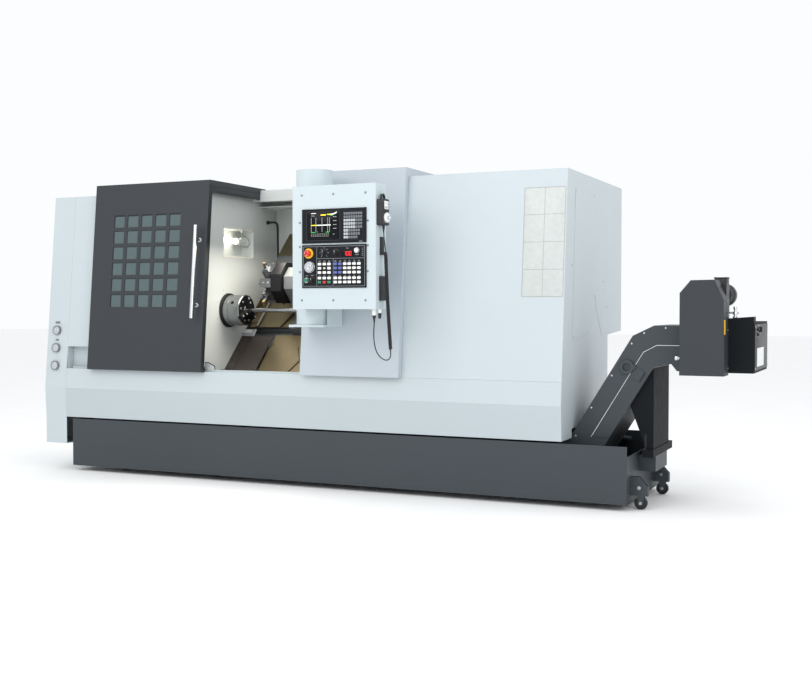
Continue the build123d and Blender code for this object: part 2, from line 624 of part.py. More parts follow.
def carriage_cover_n():
    return COVER_N - 2 * (COVER_T + COVER_GAP)


REAR_COVER_N = -46.0
REAR_COVER_X0 = TURRET_X0 - 184
REAR_COVER_X1 = SADDLE_X1 + 40
REAR_POST_Y0 = REAR_Y - 49
REAR_POST_Y1 = REAR_POST_Y0 + 10


def carriage_cover():
    n1 = carriage_cover_n()
    left = slope_block(STAGE_X0, SADDLE_X0, COVER_S0 + 8, COVER_S1 - 8, n1 - COVER_T, n1)
    right = slope_block(SADDLE_X1, RIGHT_COVER_X1, COVER_S0 + 8, COVER_S1 - 8, n1 - COVER_T, n1)
    rear = slope_block(REAR_COVER_X0, REAR_COVER_X1, 600, 835, REAR_COVER_N - COVER_T, REAR_COVER_N)
    return fused(left, right, rear)


def carriage_saddle():
    s0 = CARRIAGE_WAYS[0] - 70
    s1 = CARRIAGE_WAYS[1] + 70
    n_top = -235.0
    saddle = slope_block(SADDLE_X0, SADDLE_X1, s0, s1, BED_N + 3, n_top)
    for s in CARRIAGE_WAYS:
        half = WAY_W / 2 + FIT
        saddle -= slope_block(SADDLE_X0 - 1, SADDLE_X1 + 1, s - half, s + half, BED_N, BED_N + WAY_H + FIT)
    for x in GUIDE_XS:
        saddle += slope_block(x, x + GUIDE_W, s0, 640, n_top, n_top + 30)
    y, z = yz(640, n_top + 30)
    z_plate = yz(0, REAR_COVER_N - COVER_T)
    z1 = REAR_POST_Y0 + (z_plate[1] - z_plate[0])
    x0, x1 = GUIDE_XS[0], GUIDE_XS[1] + GUIDE_W
    saddle += box(x0, x1, REAR_POST_Y0, REAR_POST_Y1, z - 30, z1)
    saddle += slope_block(x0, x1, 600, 640, n_top, n_top + 30)
    return saddle


def turret_base():
    n0 = -205.0 + FIT
    s = TURRET_S
    base = slope_block(GUIDE_XS[0] - 20, GUIDE_XS[1] + GUIDE_W + 30, s - 120, s + 150, n0, -150)
    for x in GUIDE_XS:
        base += slope_block(x - 6 - FIT, x - FIT, s - 120, s + 150, -232, n0 + 1)
        base += slope_block(x + GUIDE_W + FIT, x + GUIDE_W + 6 + FIT, s - 120, s + 150, -232, n0 + 1)
    drive_x1 = SADDLE_X1 - 30
    base += prism_x([yz(s - 105, -150), yz(s + 105, -150), yz(s + 105, 45), yz(s + 45, 105),
                     yz(s - 45, 105), yz(s - 105, 45)], TURRET_X0 + TURRET_L + 6, drive_x1)
    y, z = yz(s, 0)
    base += rod_x(TURRET_X0 + TURRET_L + FIT, TURRET_X0 + TURRET_L + 6, y, z, 90)
    base += rod_x(drive_x1, drive_x1 + 65, y, z, 70)
    base += slope_block(REAR_COVER_X0, REAR_COVER_X1, 475, 655, REAR_COVER_N - 2 * COVER_T - COVER_GAP,
                        REAR_COVER_N - COVER_T - COVER_GAP)
    arm = (GUIDE_XS[0] + 50, GUIDE_XS[1] - 10)
    base += slope_block(*arm, s + 100, 520, -95, -75)
    base += slope_block(*arm, 480, 520, -76, REAR_COVER_N - 2 * COVER_T - COVER_GAP)
    return base


def around_turret(shape, angle):
    y, z = yz(TURRET_S, 0)
    return Pos(0, y, z) * Rot(angle, 0, 0) * shape


def turret_disc():
    step = 360 / STATIONS
    y, z = yz(TURRET_S, 0)
    r = TURRET_R
    pts = [(r * math.cos(math.radians(i * step)), r * math.sin(math.radians(i * step)))
           for i in range(STATIONS)]
    disc = prism_x(pts, TURRET_X0, TURRET_X0 + TURRET_L)
    disc += rod((TURRET_X0 - 14, 0, 0), (1, 0, 0), 14, 60)
    disc += rod((TURRET_X0 - 26, 0, 0), (1, 0, 0), 14, 26)
    return around_turret(disc, SLANT + step / 2)


def tool_station(i):
    """Holder on the disc's face: even stations hold a turning tool, odd ones a boring bar."""
    x1 = TURRET_X0
    block = box(x1 - 80, x1, -30, 30, 74, 138)
    if i % 2 == 0:
        shank = box(x1 - 62, x1 - 42, -10, 10, 100, TOOL_R - 8)
        tip = prism_y([(x1 - 62, TOOL_R - 8), (x1 - 42, TOOL_R - 8), (x1 - 60, TOOL_R)], -3, 3)
        clamp = box(x1 - 70, x1 - 34, -22, 22, 138, 146)
        return fused(block, shank, tip, clamp)
    bar = rod((x1 - 103, 0, 108), (1, 0, 0), 40, 14)
    collar = rod((x1 - 92, 0, 108), (1, 0, 0), 14, 24)
    return fused(block, bar, collar)


def tool_holders():
    step = 360 / STATIONS
    first = SLANT + 90
    return fused(*[around_turret(tool_station(i), first + i * step) for i in range(STATIONS)])


# Tailstock
TAIL_X0 = BAR_END_X + 155
TAIL_L = 300.0
TAIL_X1 = TAIL_X0 + TAIL_L
TAIL_R = 76.0
QUILL_R = 38.0
CENTRE_TIP = BAR_END_X - 8.2
CENTRE_R = 26.0
CENTRE_END = BAR_END_X + 85
SHANK_R = 16.0


def tailstock_body():
    top = BED_N + WAY_H
    base = slope_block(TAIL_X0, TAIL_X1, -335, -45, BED_N + 3, top + 70)
    for s in TAILSTOCK_WAYS:
        half = WAY_W / 2 + FIT
        base -= slope_block(TAIL_X0 - 1, TAIL_X1 + 1, s - half, s + half, BED_N, top + FIT)
    web = prism_x([yz(-300, top + 70), yz(-60, top + 70), yz(70, -30), yz(TAIL_R, 0), yz(-TAIL_R, 0),
                   yz(-150, -90)], TAIL_X0 + 20, TAIL_X1 - 20)
    body = base + web + rod_x(TAIL_X0 - 20, TAIL_X1, SPINDLE_Y, SPINDLE_Z, TAIL_R)
    body -= rod_x(TAIL_X0 - 21, TAIL_X1 - 10, SPINDLE_Y, SPINDLE_Z, QUILL_R + 0.05)
    return body


def quill():
    q = rod_x(CENTRE_END, TAIL_X1 - 60, SPINDLE_Y, SPINDLE_Z, QUILL_R)
    q = chamfer(q.edges().filter_by(GeomType.CIRCLE).sort_by(Axis.X)[0], 3)
    return q - rod_x(CENTRE_END - 1, CENTRE_END + 60, SPINDLE_Y, SPINDLE_Z, SHANK_R + 0.05)


def live_centre():
    length = CENTRE_R * math.tan(math.radians(60))
    cone = Plane(origin=(CENTRE_TIP + length / 2, SPINDLE_Y, SPINDLE_Z), z_dir=(1, 0, 0))
    cone = cone * Cone(0, CENTRE_R, length)
    body = rod_x(CENTRE_TIP + length, CENTRE_END - FIT, SPINDLE_Y, SPINDLE_Z, CENTRE_R)
    return cone + body + rod_x(CENTRE_END - FIT, CENTRE_END + 55, SPINDLE_Y, SPINDLE_Z, SHANK_R)


# Sliding door
DOOR_T = 40.0
DOOR_TOP_Z = MIDDLE_TOP_Z - 10
SKIN = 3.0
WINDOW_W = 552.0
WINDOW_X0 = DOOR_X0 + (DOOR_W - WINDOW_W) / 2 - 23.5
WINDOW_Z0 = 1135.0
WINDOW_H = 630.0
WINDOW_COLS = 5
WINDOW_ROWS = 6
PANE_W = 90.0
PANE_H = 88.0
HOOD_T = 12.0
HOOD_FLANGE = 38.0
RUNNER_L = 120.0
HANDLE_X = DOOR_X0 + DOOR_W - 53
HANDLE_Z0 = 1060.0
HANDLE_Z1 = 1668.0
HANDLE_R = 13.0
HANDLE_OFF = 55.0


def door_panel():
    z0 = SILL_Z + 1
    frame = lean_plane(z0, PROUD)
    height = up(DOOR_TOP_Z - z0)
    x_mid = DOOR_X0 + DOOR_W / 2
    pan = Pos(x_mid, height / 2, -DOOR_T / 2) * Box(DOOR_W, height, DOOR_T)
    pan -= Pos(x_mid, height / 2, -DOOR_T / 2 - SKIN) * Box(DOOR_W - 2 * SKIN, height - 2 * SKIN, DOOR_T)
    pane = extrude(RectangleRounded(PANE_W, PANE_H, 5), 20, both=True)
    pitch_x = (WINDOW_W - PANE_W) / (WINDOW_COLS - 1)
    pitch_z = (up(WINDOW_H) - PANE_H) / (WINDOW_ROWS - 1)
    v0 = up(WINDOW_Z0 - z0) + PANE_H / 2
    holes = [Pos(WINDOW_X0 + PANE_W / 2 + i * pitch_x, v0 + j * pitch_z, 0) * pane
             for i in range(WINDOW_COLS) for j in range(WINDOW_ROWS)]
    pan -= holes
    door = frame * pan
    x1 = DOOR_X0 + DOOR_W
    top = DOOR_TOP_Z + 2
    y_front = lean_y(top) - PROUD + 8
    rear = HOOD_DEPTH_Y - 10
    hood = box(DOOR_X0, x1, y_front, rear, top - HOOD_T, top)
    hood += box(x1 - SKIN, x1, y_front + 20, rear - 70, top - HOOD_FLANGE, top)
    hood += box(DOOR_X0, DOOR_X0 + SKIN, y_front + 20, rear - 70, top - HOOD_FLANGE, top)
    runner_y = (RAIL_Y0 - 10, RAIL_Y1 + 10)
    z_rail = SILL_Z + RAIL_H
    for x in (DOOR_X0 + 60, x1 - RUNNER_L - 20):
        block = box(x, x + RUNNER_L, *runner_y, z_rail - 10, z_rail + 18)
        block -= box(x - 1, x + RUNNER_L + 1, RAIL_Y0 - FIT, RAIL_Y1 + FIT, z_rail - 11, z_rail + FIT)
        arm = box(x, x + RUNNER_L, lean_y(z_rail) - PROUD + SKIN - 1, RAIL_Y0, z_rail + 4, z_rail + 10)
        hood = hood + block + arm
    return door + hood


def door_window():
    frame = lean_plane(SILL_Z + 1, PROUD)
    margin = 18.0
    v0 = up(WINDOW_Z0 - SILL_Z - 1) - margin
    h = up(WINDOW_H) + 2 * margin
    w = WINDOW_W + 2 * margin
    return frame * Pos(WINDOW_X0 + WINDOW_W / 2, v0 + h / 2, -SKIN - 3) * Box(w, h, 6)


def door_handle():
    frame = lean_plane(SILL_Z + 1, PROUD)
    v0 = up(HANDLE_Z0 - SILL_Z - 1)
    v1 = up(HANDLE_Z1 - SILL_Z - 1)
    bar = rod((HANDLE_X, v0, HANDLE_OFF), (0, 1, 0), v1 - v0, HANDLE_R)
    for v in (v0 + 90, v1 - 90):
        bar += rod((HANDLE_X, v, 0), (0, 0, 1), HANDLE_OFF, 8)
    return frame * bar


# Gauges
GAUGE_X = LEFT_X + 84
GAUGE_PITCH = 123.0
GAUGE_ZS = [SILL_Z + 18 + i * GAUGE_PITCH for i in range(3)]
GAUGE_R = 30.0
GAUGE_D = 16.0


def pressure_gauges():
    gauges = []
    for z in GAUGE_ZS:
        case = Pos(GAUGE_X, 0, GAUGE_D / 2) * Cylinder(GAUGE_R, GAUGE_D)
        case -= Pos(GAUGE_X, 0, GAUGE_D) * Cylinder(GAUGE_R - 4, 6)
        needle = Pos(GAUGE_X, 0, GAUGE_D - 2) * Cylinder(3, 3)
        needle += Pos(GAUGE_X, 0, GAUGE_D - 2) * Rot(0, 0, 35) * Pos(0, 7, 0) * Box(2, 22, 1.5)
        gauges.append(lean_plane(z) * (case + needle))
    return fused(*gauges)


# Conveyor
RING_AT = (ELBOW_X - 152, ELBOW_Z - 1)
HATCH = [(ELBOW_X + u, ELBOW_Z + v) for u, v in ((-101, 5), (-49, -28), (-83, -86), (-135, -53))]
GUARD_DEPTH = 150.0
GUARD_Y0 = CONV_Y0 - GUARD_DEPTH
GUARD_W = 236.0
GUARD_Z0 = CONV_DROP_Z - 15
GUARD_TOP_Z = CONV_HEAD_TOP + 253
CTRL_W = 139.0
BOX_END_X = CONV_HEAD_X + CTRL_W
CTRL_Y1 = CONV_Y0 + CONV_W + 113
CTRL_Z0 = CONV_DROP_Z - 4
CTRL_Z1 = CONV_HEAD_TOP + 22
MOTOR_R = 62.0
MOTOR_AT = (CONV_HEAD_X - 65, CONV_HEAD_TOP + 173)


def conveyor_outline():
    z0 = TRAY_Z0 + TRAY_WALL
    slope = (ELBOW_Z - z0) / (ELBOW_X - CONV_FOOT_X)
    run_top = z0 + CONV_T
    x_top = CONV_FOOT_X - CONV_T * math.tan(math.atan(slope) / 2)
    x_shoulder = ELBOW_X - 121
    z_shoulder = run_top + (x_shoulder - x_top) * slope
    return [(CONV_X0, z0), (CONV_FOOT_X, z0), (ELBOW_X, ELBOW_Z), (ELBOW_X + 99, ELBOW_Z + 21),
            (CONV_DROP_X, CONV_DROP_Z), (CONV_HEAD_X, CONV_DROP_Z), (CONV_HEAD_X, CONV_HEAD_TOP),
            (ELBOW_X + 1, CONV_HEAD_TOP), (x_shoulder, z_shoulder), (x_top + 55, run_top + 55 * slope),
            (x_top + 35, run_top + 110), (x_top, run_top), (CONV_X0, run_top)]


def conveyor_housing():
    t = CONV_WALL
    y0 = CONV_Y0
    y1 = CONV_Y0 + CONV_W
    face = make_face(Polyline(*conveyor_outline(), close=True))
    inner = offset(face, -t, kind=Kind.INTERSECTION)
    plane = Plane(origin=(0, y1, 0), x_dir=(1, 0, 0), z_dir=(0, -1, 0))
    body = extrude(plane * face, CONV_W) - extrude(plane.offset(t) * inner, CONV_W - 2 * t)
    z0 = TRAY_Z0 + TRAY_WALL
    body -= box(CONV_X0 + 30, BED_X1 - 20, y0 + t, y1 - t, z0 + CONV_T - 10, z0 + CONV_T + 10)
    body -= box(CONV_DROP_X + 60, CONV_HEAD_X - t, y0 + t, y1 - t, CONV_DROP_Z - 5, CONV_DROP_Z + 10)
    slope = (ELBOW_Z - z0) / (ELBOW_X - CONV_FOOT_X)
    z_low = TRAY_Z0 + TRAY_H + 20
    end = ELBOW_X + 168
    x_low = ELBOW_X - (ELBOW_Z - z_low) / slope
    seam = [(x_low - 108, z_low), (ELBOW_X - 58, ELBOW_Z + 85), (ELBOW_X + 18, ELBOW_Z + 125),
            (end, ELBOW_Z + 125)]
    low = [(end, CONV_DROP_Z), (CONV_DROP_X, CONV_DROP_Z), (ELBOW_X + 99, ELBOW_Z + 21),
           (ELBOW_X, ELBOW_Z), (x_low, z_low)]
    body += prism_y(seam + low, y0 - 3, y0)
    x, z = RING_AT
    ring = rod_y(y0 - 16, y0 - 6, x, z, 40) - rod_y(y0 - 17, y0 - 5, x, z, 24)
    ring += box(x + 22, x + 50, y0 - 16, y0, z - 14, z + 14)
    return body + prism_y(HATCH, y0 - 8, y0 - 3) + ring


def conveyor_belt():
    """Hinged-plate belt: a closed band that runs on the housing's floor and back above it."""
    z0 = TRAY_Z0 + TRAY_WALL + CONV_WALL + FIT
    gap = CONV_WALL + FIT
    slope = math.atan2(ELBOW_Z - z0 + CONV_WALL, ELBOW_X - CONV_FOOT_X)
    level = ELBOW_Z + 47
    low = [(CONV_X0 + 30, z0), (CONV_FOOT_X - gap * math.tan(slope / 2), z0),
           (ELBOW_X - gap * math.sin(slope) + 10, ELBOW_Z + gap * math.cos(slope) + 16),
           (ELBOW_X + 108, level), (CONV_HEAD_X - 65, level)]
    outer = make_face(Polyline(*thicken(low, 90), close=True))
    inner = offset(outer, -9, kind=Kind.INTERSECTION)
    y1 = CONV_Y0 + CONV_W - CONV_WALL - 12
    plane = Plane(origin=(0, y1, 0), x_dir=(1, 0, 0), z_dir=(0, -1, 0))
    return extrude(plane * (outer - inner), CONV_W - 2 * (CONV_WALL + 12))


def drive_guard():
    x0 = CONV_HEAD_X - GUARD_W
    z_shoulder = GUARD_TOP_Z - 72
    outline = [(x0, GUARD_Z0), (x0, z_shoulder), (x0 + 59, GUARD_TOP_Z - 2), (CONV_HEAD_X - 50, GUARD_TOP_Z),
               (CONV_HEAD_X, z_shoulder - 39), (CONV_HEAD_X + 4, GUARD_Z0)]
    face = make_face(Polyline(*outline, close=True))
    inner = offset(face, -3, kind=Kind.INTERSECTION)
    plane = Plane(origin=(0, CONV_Y0, 0), x_dir=(1, 0, 0), z_dir=(0, -1, 0))
    depth = CONV_Y0 - GUARD_Y0
    shell = extrude(plane * face, depth) - extrude(plane * inner, depth - 3)
    return shell


def gearmotor():
    x, z = MOTOR_AT
    y0 = CONV_Y0 + 4
    case = box(x - 60, x + 55, y0, y0 + 110, CONV_HEAD_TOP, z + 60)
    motor = rod_y(y0 + 110, y0 + 300, x, z, MOTOR_R - 8)
    for i in range(10):
        y = y0 + 122 + i * 14
        motor += rod_y(y, y + 5, x, z, MOTOR_R)
    cowl = rod_y(y0 + 270, y0 + 330, x, z, MOTOR_R + 3)
    shaft = rod_y(GUARD_Y0 + 60, y0, x, z, 14)
    sprocket = rod_y(GUARD_Y0 + 66, GUARD_Y0 + 78, x, z, 40)
    return fused(case, motor, cowl, shaft, sprocket)


def control_box():
    case = box(CONV_HEAD_X, BOX_END_X, CONV_Y0, CTRL_Y1, CTRL_Z0, CTRL_Z1)
    case -= box(CONV_HEAD_X + 2, BOX_END_X - 2, CONV_Y0 + 2, CTRL_Y1 - 2, CTRL_Z0 + 2, CTRL_Z1 - 2)
    face = box(BOX_END_X, BOX_END_X + 3, CONV_Y0 + 12, CTRL_Y1 - 12, CTRL_Z0 + 12, CTRL_Z1 - 12)
    lid = prism_y([(CONV_HEAD_X, CTRL_Z1), (BOX_END_X - 3, CTRL_Z1), (BOX_END_X - 3, CTRL_Z1 + 30),
                   (CONV_HEAD_X, CTRL_Z1 + 20)], CONV_Y0, CONV_Y0 + 90)
    return fused(case, face, lid)


def support_leg():
    y0 = CONV_Y0 + 25
    y1 = CONV_Y0 + CONV_W - 5
    z1 = BEAM_Z0 + 44
    x1 = ELBOW_X - 4
    top = ELBOW_Z + 35
    side = [(x1 - 42, z1), (x1, z1), (x1, top), (x1 - 198, top), (x1 - 130, ELBOW_Z - 235)]
    t = 5
    leg = prism_y(side, y0, y0 + t) + prism_y(side, y1 - t, y1)
    leg += box(x1 - t, x1, y0, y1, z1, top)
    leg += box(x1 - 58, x1 + 6, y0 - 30, y1 + 80, BEAM_Z0, z1)
    floor = TRAY_Z0 + TRAY_WALL
    above = [(CONV_FOOT_X, floor), (ELBOW_X, ELBOW_Z), (ELBOW_X, top + 10), (CONV_FOOT_X, top + 10)]
    return leg - prism_y(above, CONV_Y0 - 10, CONV_Y0 + CONV_W + 10)


def coolant_pump():
    x, y = TRAY_L - 214, TRAY_W - 90
    z0 = TRAY_Z0 + TRAY_WALL
    pump = rod_z(z0, 300, x, y, 50)
    pump = fused(pump, rod_z(300, 330, x, y, 58))
    top = pump.edges().filter_by(GeomType.CIRCLE).sort_by(Axis.Z)[-1]
    return fillet(top, 18)


# Control pendant
def pendant_bracket():
    z1 = DRUM_Z0 - FIT
    y1 = lean_y(z1 - 14) - PROUD
    x1 = DRUM_X + DRUM_R + 10
    plate = box(DRUM_X - DRUM_R - 5, x1, DRUM_Y - DRUM_R - 4, y1, z1 - 14, z1)
    rib = box(x1 - 6, x1, DRUM_Y - 60, y1, z1, z1 + 110)
    return fused(plate, rib, rod_z(z1, POST_TOP_Z, DRUM_X, DRUM_Y, POST_R))


def pendant_box():
    drum = rod_z(DRUM_Z0, DRUM_Z1, DRUM_X, DRUM_Y, DRUM_R)
    drum -= rod_z(DRUM_Z0 + 10, DRUM_Z1 - 6, DRUM_X, DRUM_Y, DRUM_R - 5)
    drum += rod_z(DRUM_Z0, POST_TOP_Z + 10, DRUM_X, DRUM_Y, POST_R + 7)
    drum -= rod_z(DRUM_Z0 - 1, POST_TOP_Z + FIT, DRUM_X, DRUM_Y, POST_R + 0.05)
    x1 = BOX_X0 + BOX_W
    y1 = BOX_Y0 + BOX_D
    z1 = BOX_Z0 + BOX_H
    w = BOX_WALL
    case = box(BOX_X0, x1, BOX_Y0, y1, BOX_Z0, z1)
    case = fillet(case.edges().filter_by(Axis.Z), 4)
    case -= box(BOX_X0 + w, x1 - w, BOX_Y0 + w, y1 - w, BOX_Z0 + w, z1 - w)
    sx1 = SCREEN_X0 + SCREEN_W
    m = 14
    case -= box(SCREEN_X0 + m, sx1 - m, BOX_Y0 - 1, BOX_Y0 + w + 1, SCREEN_Z0 + m, SCREEN_Z0 + SCREEN_H - m)
    case -= box(SCREEN_X0 + m, sx1 - m, BOX_Y0 - 1, BOX_Y0 + w + 1, KEYS_Z0 + m, KEYS_Z0 + KEYS_H - m)
    neck = box(BOX_X0 + 4, DRUM_X + 52, y1 - 1, DRUM_Y - DRUM_R + 14, BOX_Z0 + 16, z1 - 14)
    neck -= rod_z(BOX_Z0, z1, DRUM_X, DRUM_Y, DRUM_R - 2)
    socket = rod_z(BOX_Z0 - 34, BOX_Z0 + 1, LEAD_END[0], LEAD_END[1], 11)
    socket += rod_z(BOX_Z0 - 50, BOX_Z0 - 33, LEAD_END[0], LEAD_END[1], 8)
    plug = rod_z(BOX_Z0 - 26, BOX_Z0 + 1, LEAD_END[0] + 30, LEAD_END[1] + 12, 8)
    y = BOX_Y0 + 55
    z = z1 - 408
    holders = box(x1, x1 + 12, y, y + 33, z, z + 102)
    holders += box(x1 + 12, x1 + 30, y, y + 33, z, z + 16)
    holders += box(x1, x1 + 16, y - 10, y + 47, BOX_Z0 + 50, BOX_Z0 + 190)
    return fused(case, neck, drum, socket, plug, holders)


def screen_unit():
    x1 = SCREEN_X0 + SCREEN_W
    z1 = SCREEN_Z0 + SCREEN_H
    y0 = BOX_Y0 - PLATE_T
    unit = box(SCREEN_X0, x1, y0, BOX_Y0, SCREEN_Z0, z1)
    unit += box(SCREEN_X0 + 16, x1 - 16, BOX_Y0, BOX_Y0 + 60, SCREEN_Z0 + 16, z1 - 16)
    unit -= box(SCREEN_X0 + 36, SCREEN_X0 + 246, y0 - 1, y0 + 2, SCREEN_Z0 + 20, z1 - 20)
    keys = [box(SCREEN_X0 + 276 + i * 15.2, SCREEN_X0 + 288 + i * 15.2, y0 - 1.2, y0,
                SCREEN_Z0 + 24 + j * 19.5, SCREEN_Z0 + 38 + j * 19.5) for i in range(8) for j in range(8)]
    return unit + keys


# key panel layout: places measured right and up from the panel's lower left corner
ESTOP_AT = (45.0, 201.0)
DIAL_AT = (51.0, 121.0)
START_AT = (30.0, 45.0)
MODE_AT = (68.0, 45.0)
FEED_AT = (147.0, 205.0)
SPEED_AT = (225.0, 203.0)
LOCK_AT = (360.0, 214.0)
KEY_W = 21.0
KEY_H = 14.0
KEY_T = 1.5
LEFT_COLS = (117.0, 149.0, 180.0)
RIGHT_COLS = (221.0, 251.0, 283.0, 312.0, 343.0, 374.0)
UPPER_ROWS = (89.0, 114.0, 138.0)
LOWER_ROWS = (33.0, 57.0)
COLLAR_T = 4.0


def on_panel(at):
    return SCREEN_X0 + at[0], KEYS_Z0 + at[1]


def operator_panel():
    y0 = BOX_Y0 - PLATE_T
    x1 = SCREEN_X0 + SCREEN_W
    panel = box(SCREEN_X0, x1, y0, BOX_Y0, KEYS_Z0, KEYS_Z0 + KEYS_H)
    panel += box(SCREEN_X0 + 16, x1 - 16, BOX_Y0, BOX_Y0 + 40, KEYS_Z0 + 16, KEYS_Z0 + KEYS_H - 16)
    keys = []
    for u in LEFT_COLS + RIGHT_COLS:
        for v in UPPER_ROWS + LOWER_ROWS:
            x, z = on_panel((u, v))
            keys.append(box(x - KEY_W / 2, x + KEY_W / 2, y0 - KEY_T, y0, z - KEY_H / 2, z + KEY_H / 2))
    panel += keys
    for at, r in ((ESTOP_AT, 27), (DIAL_AT, 32), (START_AT, 14), (MODE_AT, 14), (FEED_AT, 14),
                  (SPEED_AT, 14), (LOCK_AT, 15)):
        x, z = on_panel(at)
        panel += rod_y(y0 - COLLAR_T, y0, x, z, r)
    for at in (ESTOP_AT, START_AT):
        x, z = on_panel(at)
        panel -= rod_y(y0 - COLLAR_T - 1, y0 + 8, x, z, 8 + FIT)
    return panel


def push_button(at, cap_r, cap_t, lift):
    """Cap on a stem that slides in the panel."""
    x, z = on_panel(at)
    y0 = BOX_Y0 - PLATE_T - COLLAR_T
    cap = rod_y(y0 - lift - cap_t, y0 - lift, x, z, cap_r)
    cap = fillet(cap.edges().filter_by(GeomType.CIRCLE).sort_by(Axis.Y)[0], cap_t * 0.45)
    return cap + rod_y(y0 - lift, y0 + COLLAR_T, x, z, 8)


def turn_knob(at, r, t):
    x, z = on_panel(at)
    y0 = BOX_Y0 - PLATE_T - COLLAR_T - FIT
    skirt = rod_y(y0 - 3, y0, x, z, r)
    grip = rod_y(y0 - t, y0 - 3, x, z, r * 0.62)
    grip += box(x - 3, x + 3, y0 - t, y0 - 3, z - r * 0.9, z + r * 0.9)
    return skirt + grip


def pulse_dial():
    x, z = on_panel(DIAL_AT)
    y0 = BOX_Y0 - PLATE_T - COLLAR_T - FIT
    dial = rod_y(y0 - 10, y0, x, z, 30)
    dial = fillet(dial.edges().filter_by(GeomType.CIRCLE).sort_by(Axis.Y)[0], 2.5)
    hub = rod_y(y0 - 16, y0 - 10, x, z, 12)
    return dial + hub + rod_y(y0 - 22, y0 - 10, x + 18, z + 6, 4.5)


def key_switch():
    x, z = on_panel(LOCK_AT)
    y0 = BOX_Y0 - PLATE_T - COLLAR_T - FIT
    barrel = rod_y(y0 - 8, y0, x, z, 12)
    return barrel + box(x - 1.5, x + 1.5, y0 - 26, y0 - 8, z - 9, z + 9)


# Handheld unit and its cord
HAND_X0 = BOX_X0 + BOX_W
HAND_Y0 = BOX_Y0 + 12
HAND_Z0 = BOX_Z0 + BOX_H - 241
LEAD_END = (BOX_X0 + BOX_W - 34, BOX_Y0 + 50)
COIL_R = 11.0
LEAD_R = 3.2
COIL_TOP_Z = HAND_Z0 - 151
COIL_LOW_Z = BOX_Z0 - 244


def beside_hand(places, low_z, high_z):
    """Route points: x and y from the handheld unit's corner, z as a share of the way up."""
    return [(HAND_X0 + x, HAND_Y0 + y, low_z + share * (high_z - low_z)) for x, y, share in places]


def below_box(places):
    """Route points: x and y from the handheld unit's corner, z down from the pendant's underside."""
    return [(HAND_X0 + x, HAND_Y0 + y, BOX_Z0 - down) for x, y, down in places]


COIL_PATH = beside_hand(((40, 36, 1), (43, 40, 0.787), (48, 43, 0.542), (56, 46, 0.28), (66, 48, 0)),
                        COIL_LOW_Z, COIL_TOP_Z)
TOP_LEAD = beside_hand(((26, 39, 1), (26, 39, 0.715), (35, 36, 0.365), (38.9, 34.5, 0.058), (40, 36, 0)),
                       COIL_TOP_Z, HAND_Z0 - 14)
LOW_LEAD = below_box(((66, 48, 244), (68, 48.4, 276), (46, 47, 295), (18, 45, 288), (-9, 43, 266),
                      (-27, 41, 232), (-36, 39, 186), (-38, 38, 134), (-34, 38, 90), (-34, 38, 50)))


def handheld_unit():
    case = box(HAND_X0, HAND_X0 + 42, HAND_Y0, HAND_Y0 + 78, HAND_Z0, HAND_Z0 + 150)
    case = fillet(case.edges().filter_by(Axis.X), 12)
    loop = rod_x(HAND_X0 + 14, HAND_X0 + 26, HAND_Y0 + 39, HAND_Z0 + 158, 24)
    loop -= rod_x(HAND_X0 + 10, HAND_X0 + 30, HAND_Y0 + 39, HAND_Z0 + 158, 15)
    loop -= box(HAND_X0 + 10, HAND_X0 + 30, HAND_Y0, HAND_Y0 + 78, HAND_Z0 + 120, HAND_Z0 + 149)
    plate = box(HAND_X0 + 42, HAND_X0 + 44, HAND_Y0 + 12, HAND_Y0 + 66, HAND_Z0 + 92, HAND_Z0 + 138)
    gland = rod_z(HAND_Z0 - 14, HAND_Z0, TOP_LEAD[0][0], TOP_LEAD[0][1], 7)
    return fused(case, loop, plate, gland)


def handheld_dial():
    x0 = HAND_X0 + 42 + FIT
    y = HAND_Y0 + 39
    z = HAND_Z0 + 44
    dial = rod_x(x0, x0 + 12, y, z, 29)
    dial = fillet(dial.edges().filter_by(GeomType.CIRCLE).sort_by(Axis.X)[-1], 3)
    return dial + rod_x(x0 + 12, x0 + 20, y + 16, z, 5)


def cord_wire(points):
    """Straight runs joined by tangent arcs, each as large as its two runs allow."""
    pts = [Vector(*p) for p in points]
    radii = []
    for a, b, c in zip(pts, pts[1:], pts[2:]):
        run = min((b - a).length, (c - b).length)
        turn = math.radians((b - a).get_angle(c - b))
        radii.append(0.45 * run / math.tan(turn / 2))
    return FilletPolyline(*pts, radius=radii), radii


def cord_tube(points, r):
    wire, radii = cord_wire(points)
    profile = Plane(origin=wire @ 0, z_dir=wire % 0) * Circle(r)
    tube = sweep(profile, path=wire)
    print("cord radii", [round(v) for v in radii], "volume ratio",
          round(tube.volume / (math.pi * r * r * wire.length), 4))
    return tube


def handheld_cord():
    return cord_tube(COIL_PATH, COIL_R)


def handheld_lead():
    return cord_tube(TOP_LEAD, LEAD_R) + cord_tube(LOW_LEAD, LEAD_R)


def control_switch():
    y, z = CONV_Y0 + 160, CTRL_Z1 - 42
    x0 = BOX_END_X + 3 + FIT
    return rod_x(x0, x0 + 8, y, z, 17) + box(x0 + 8, x0 + 20, y - 4, y + 4, z - 15, z + 15)


CORDS = ("handheld_cord", "handheld_lead")


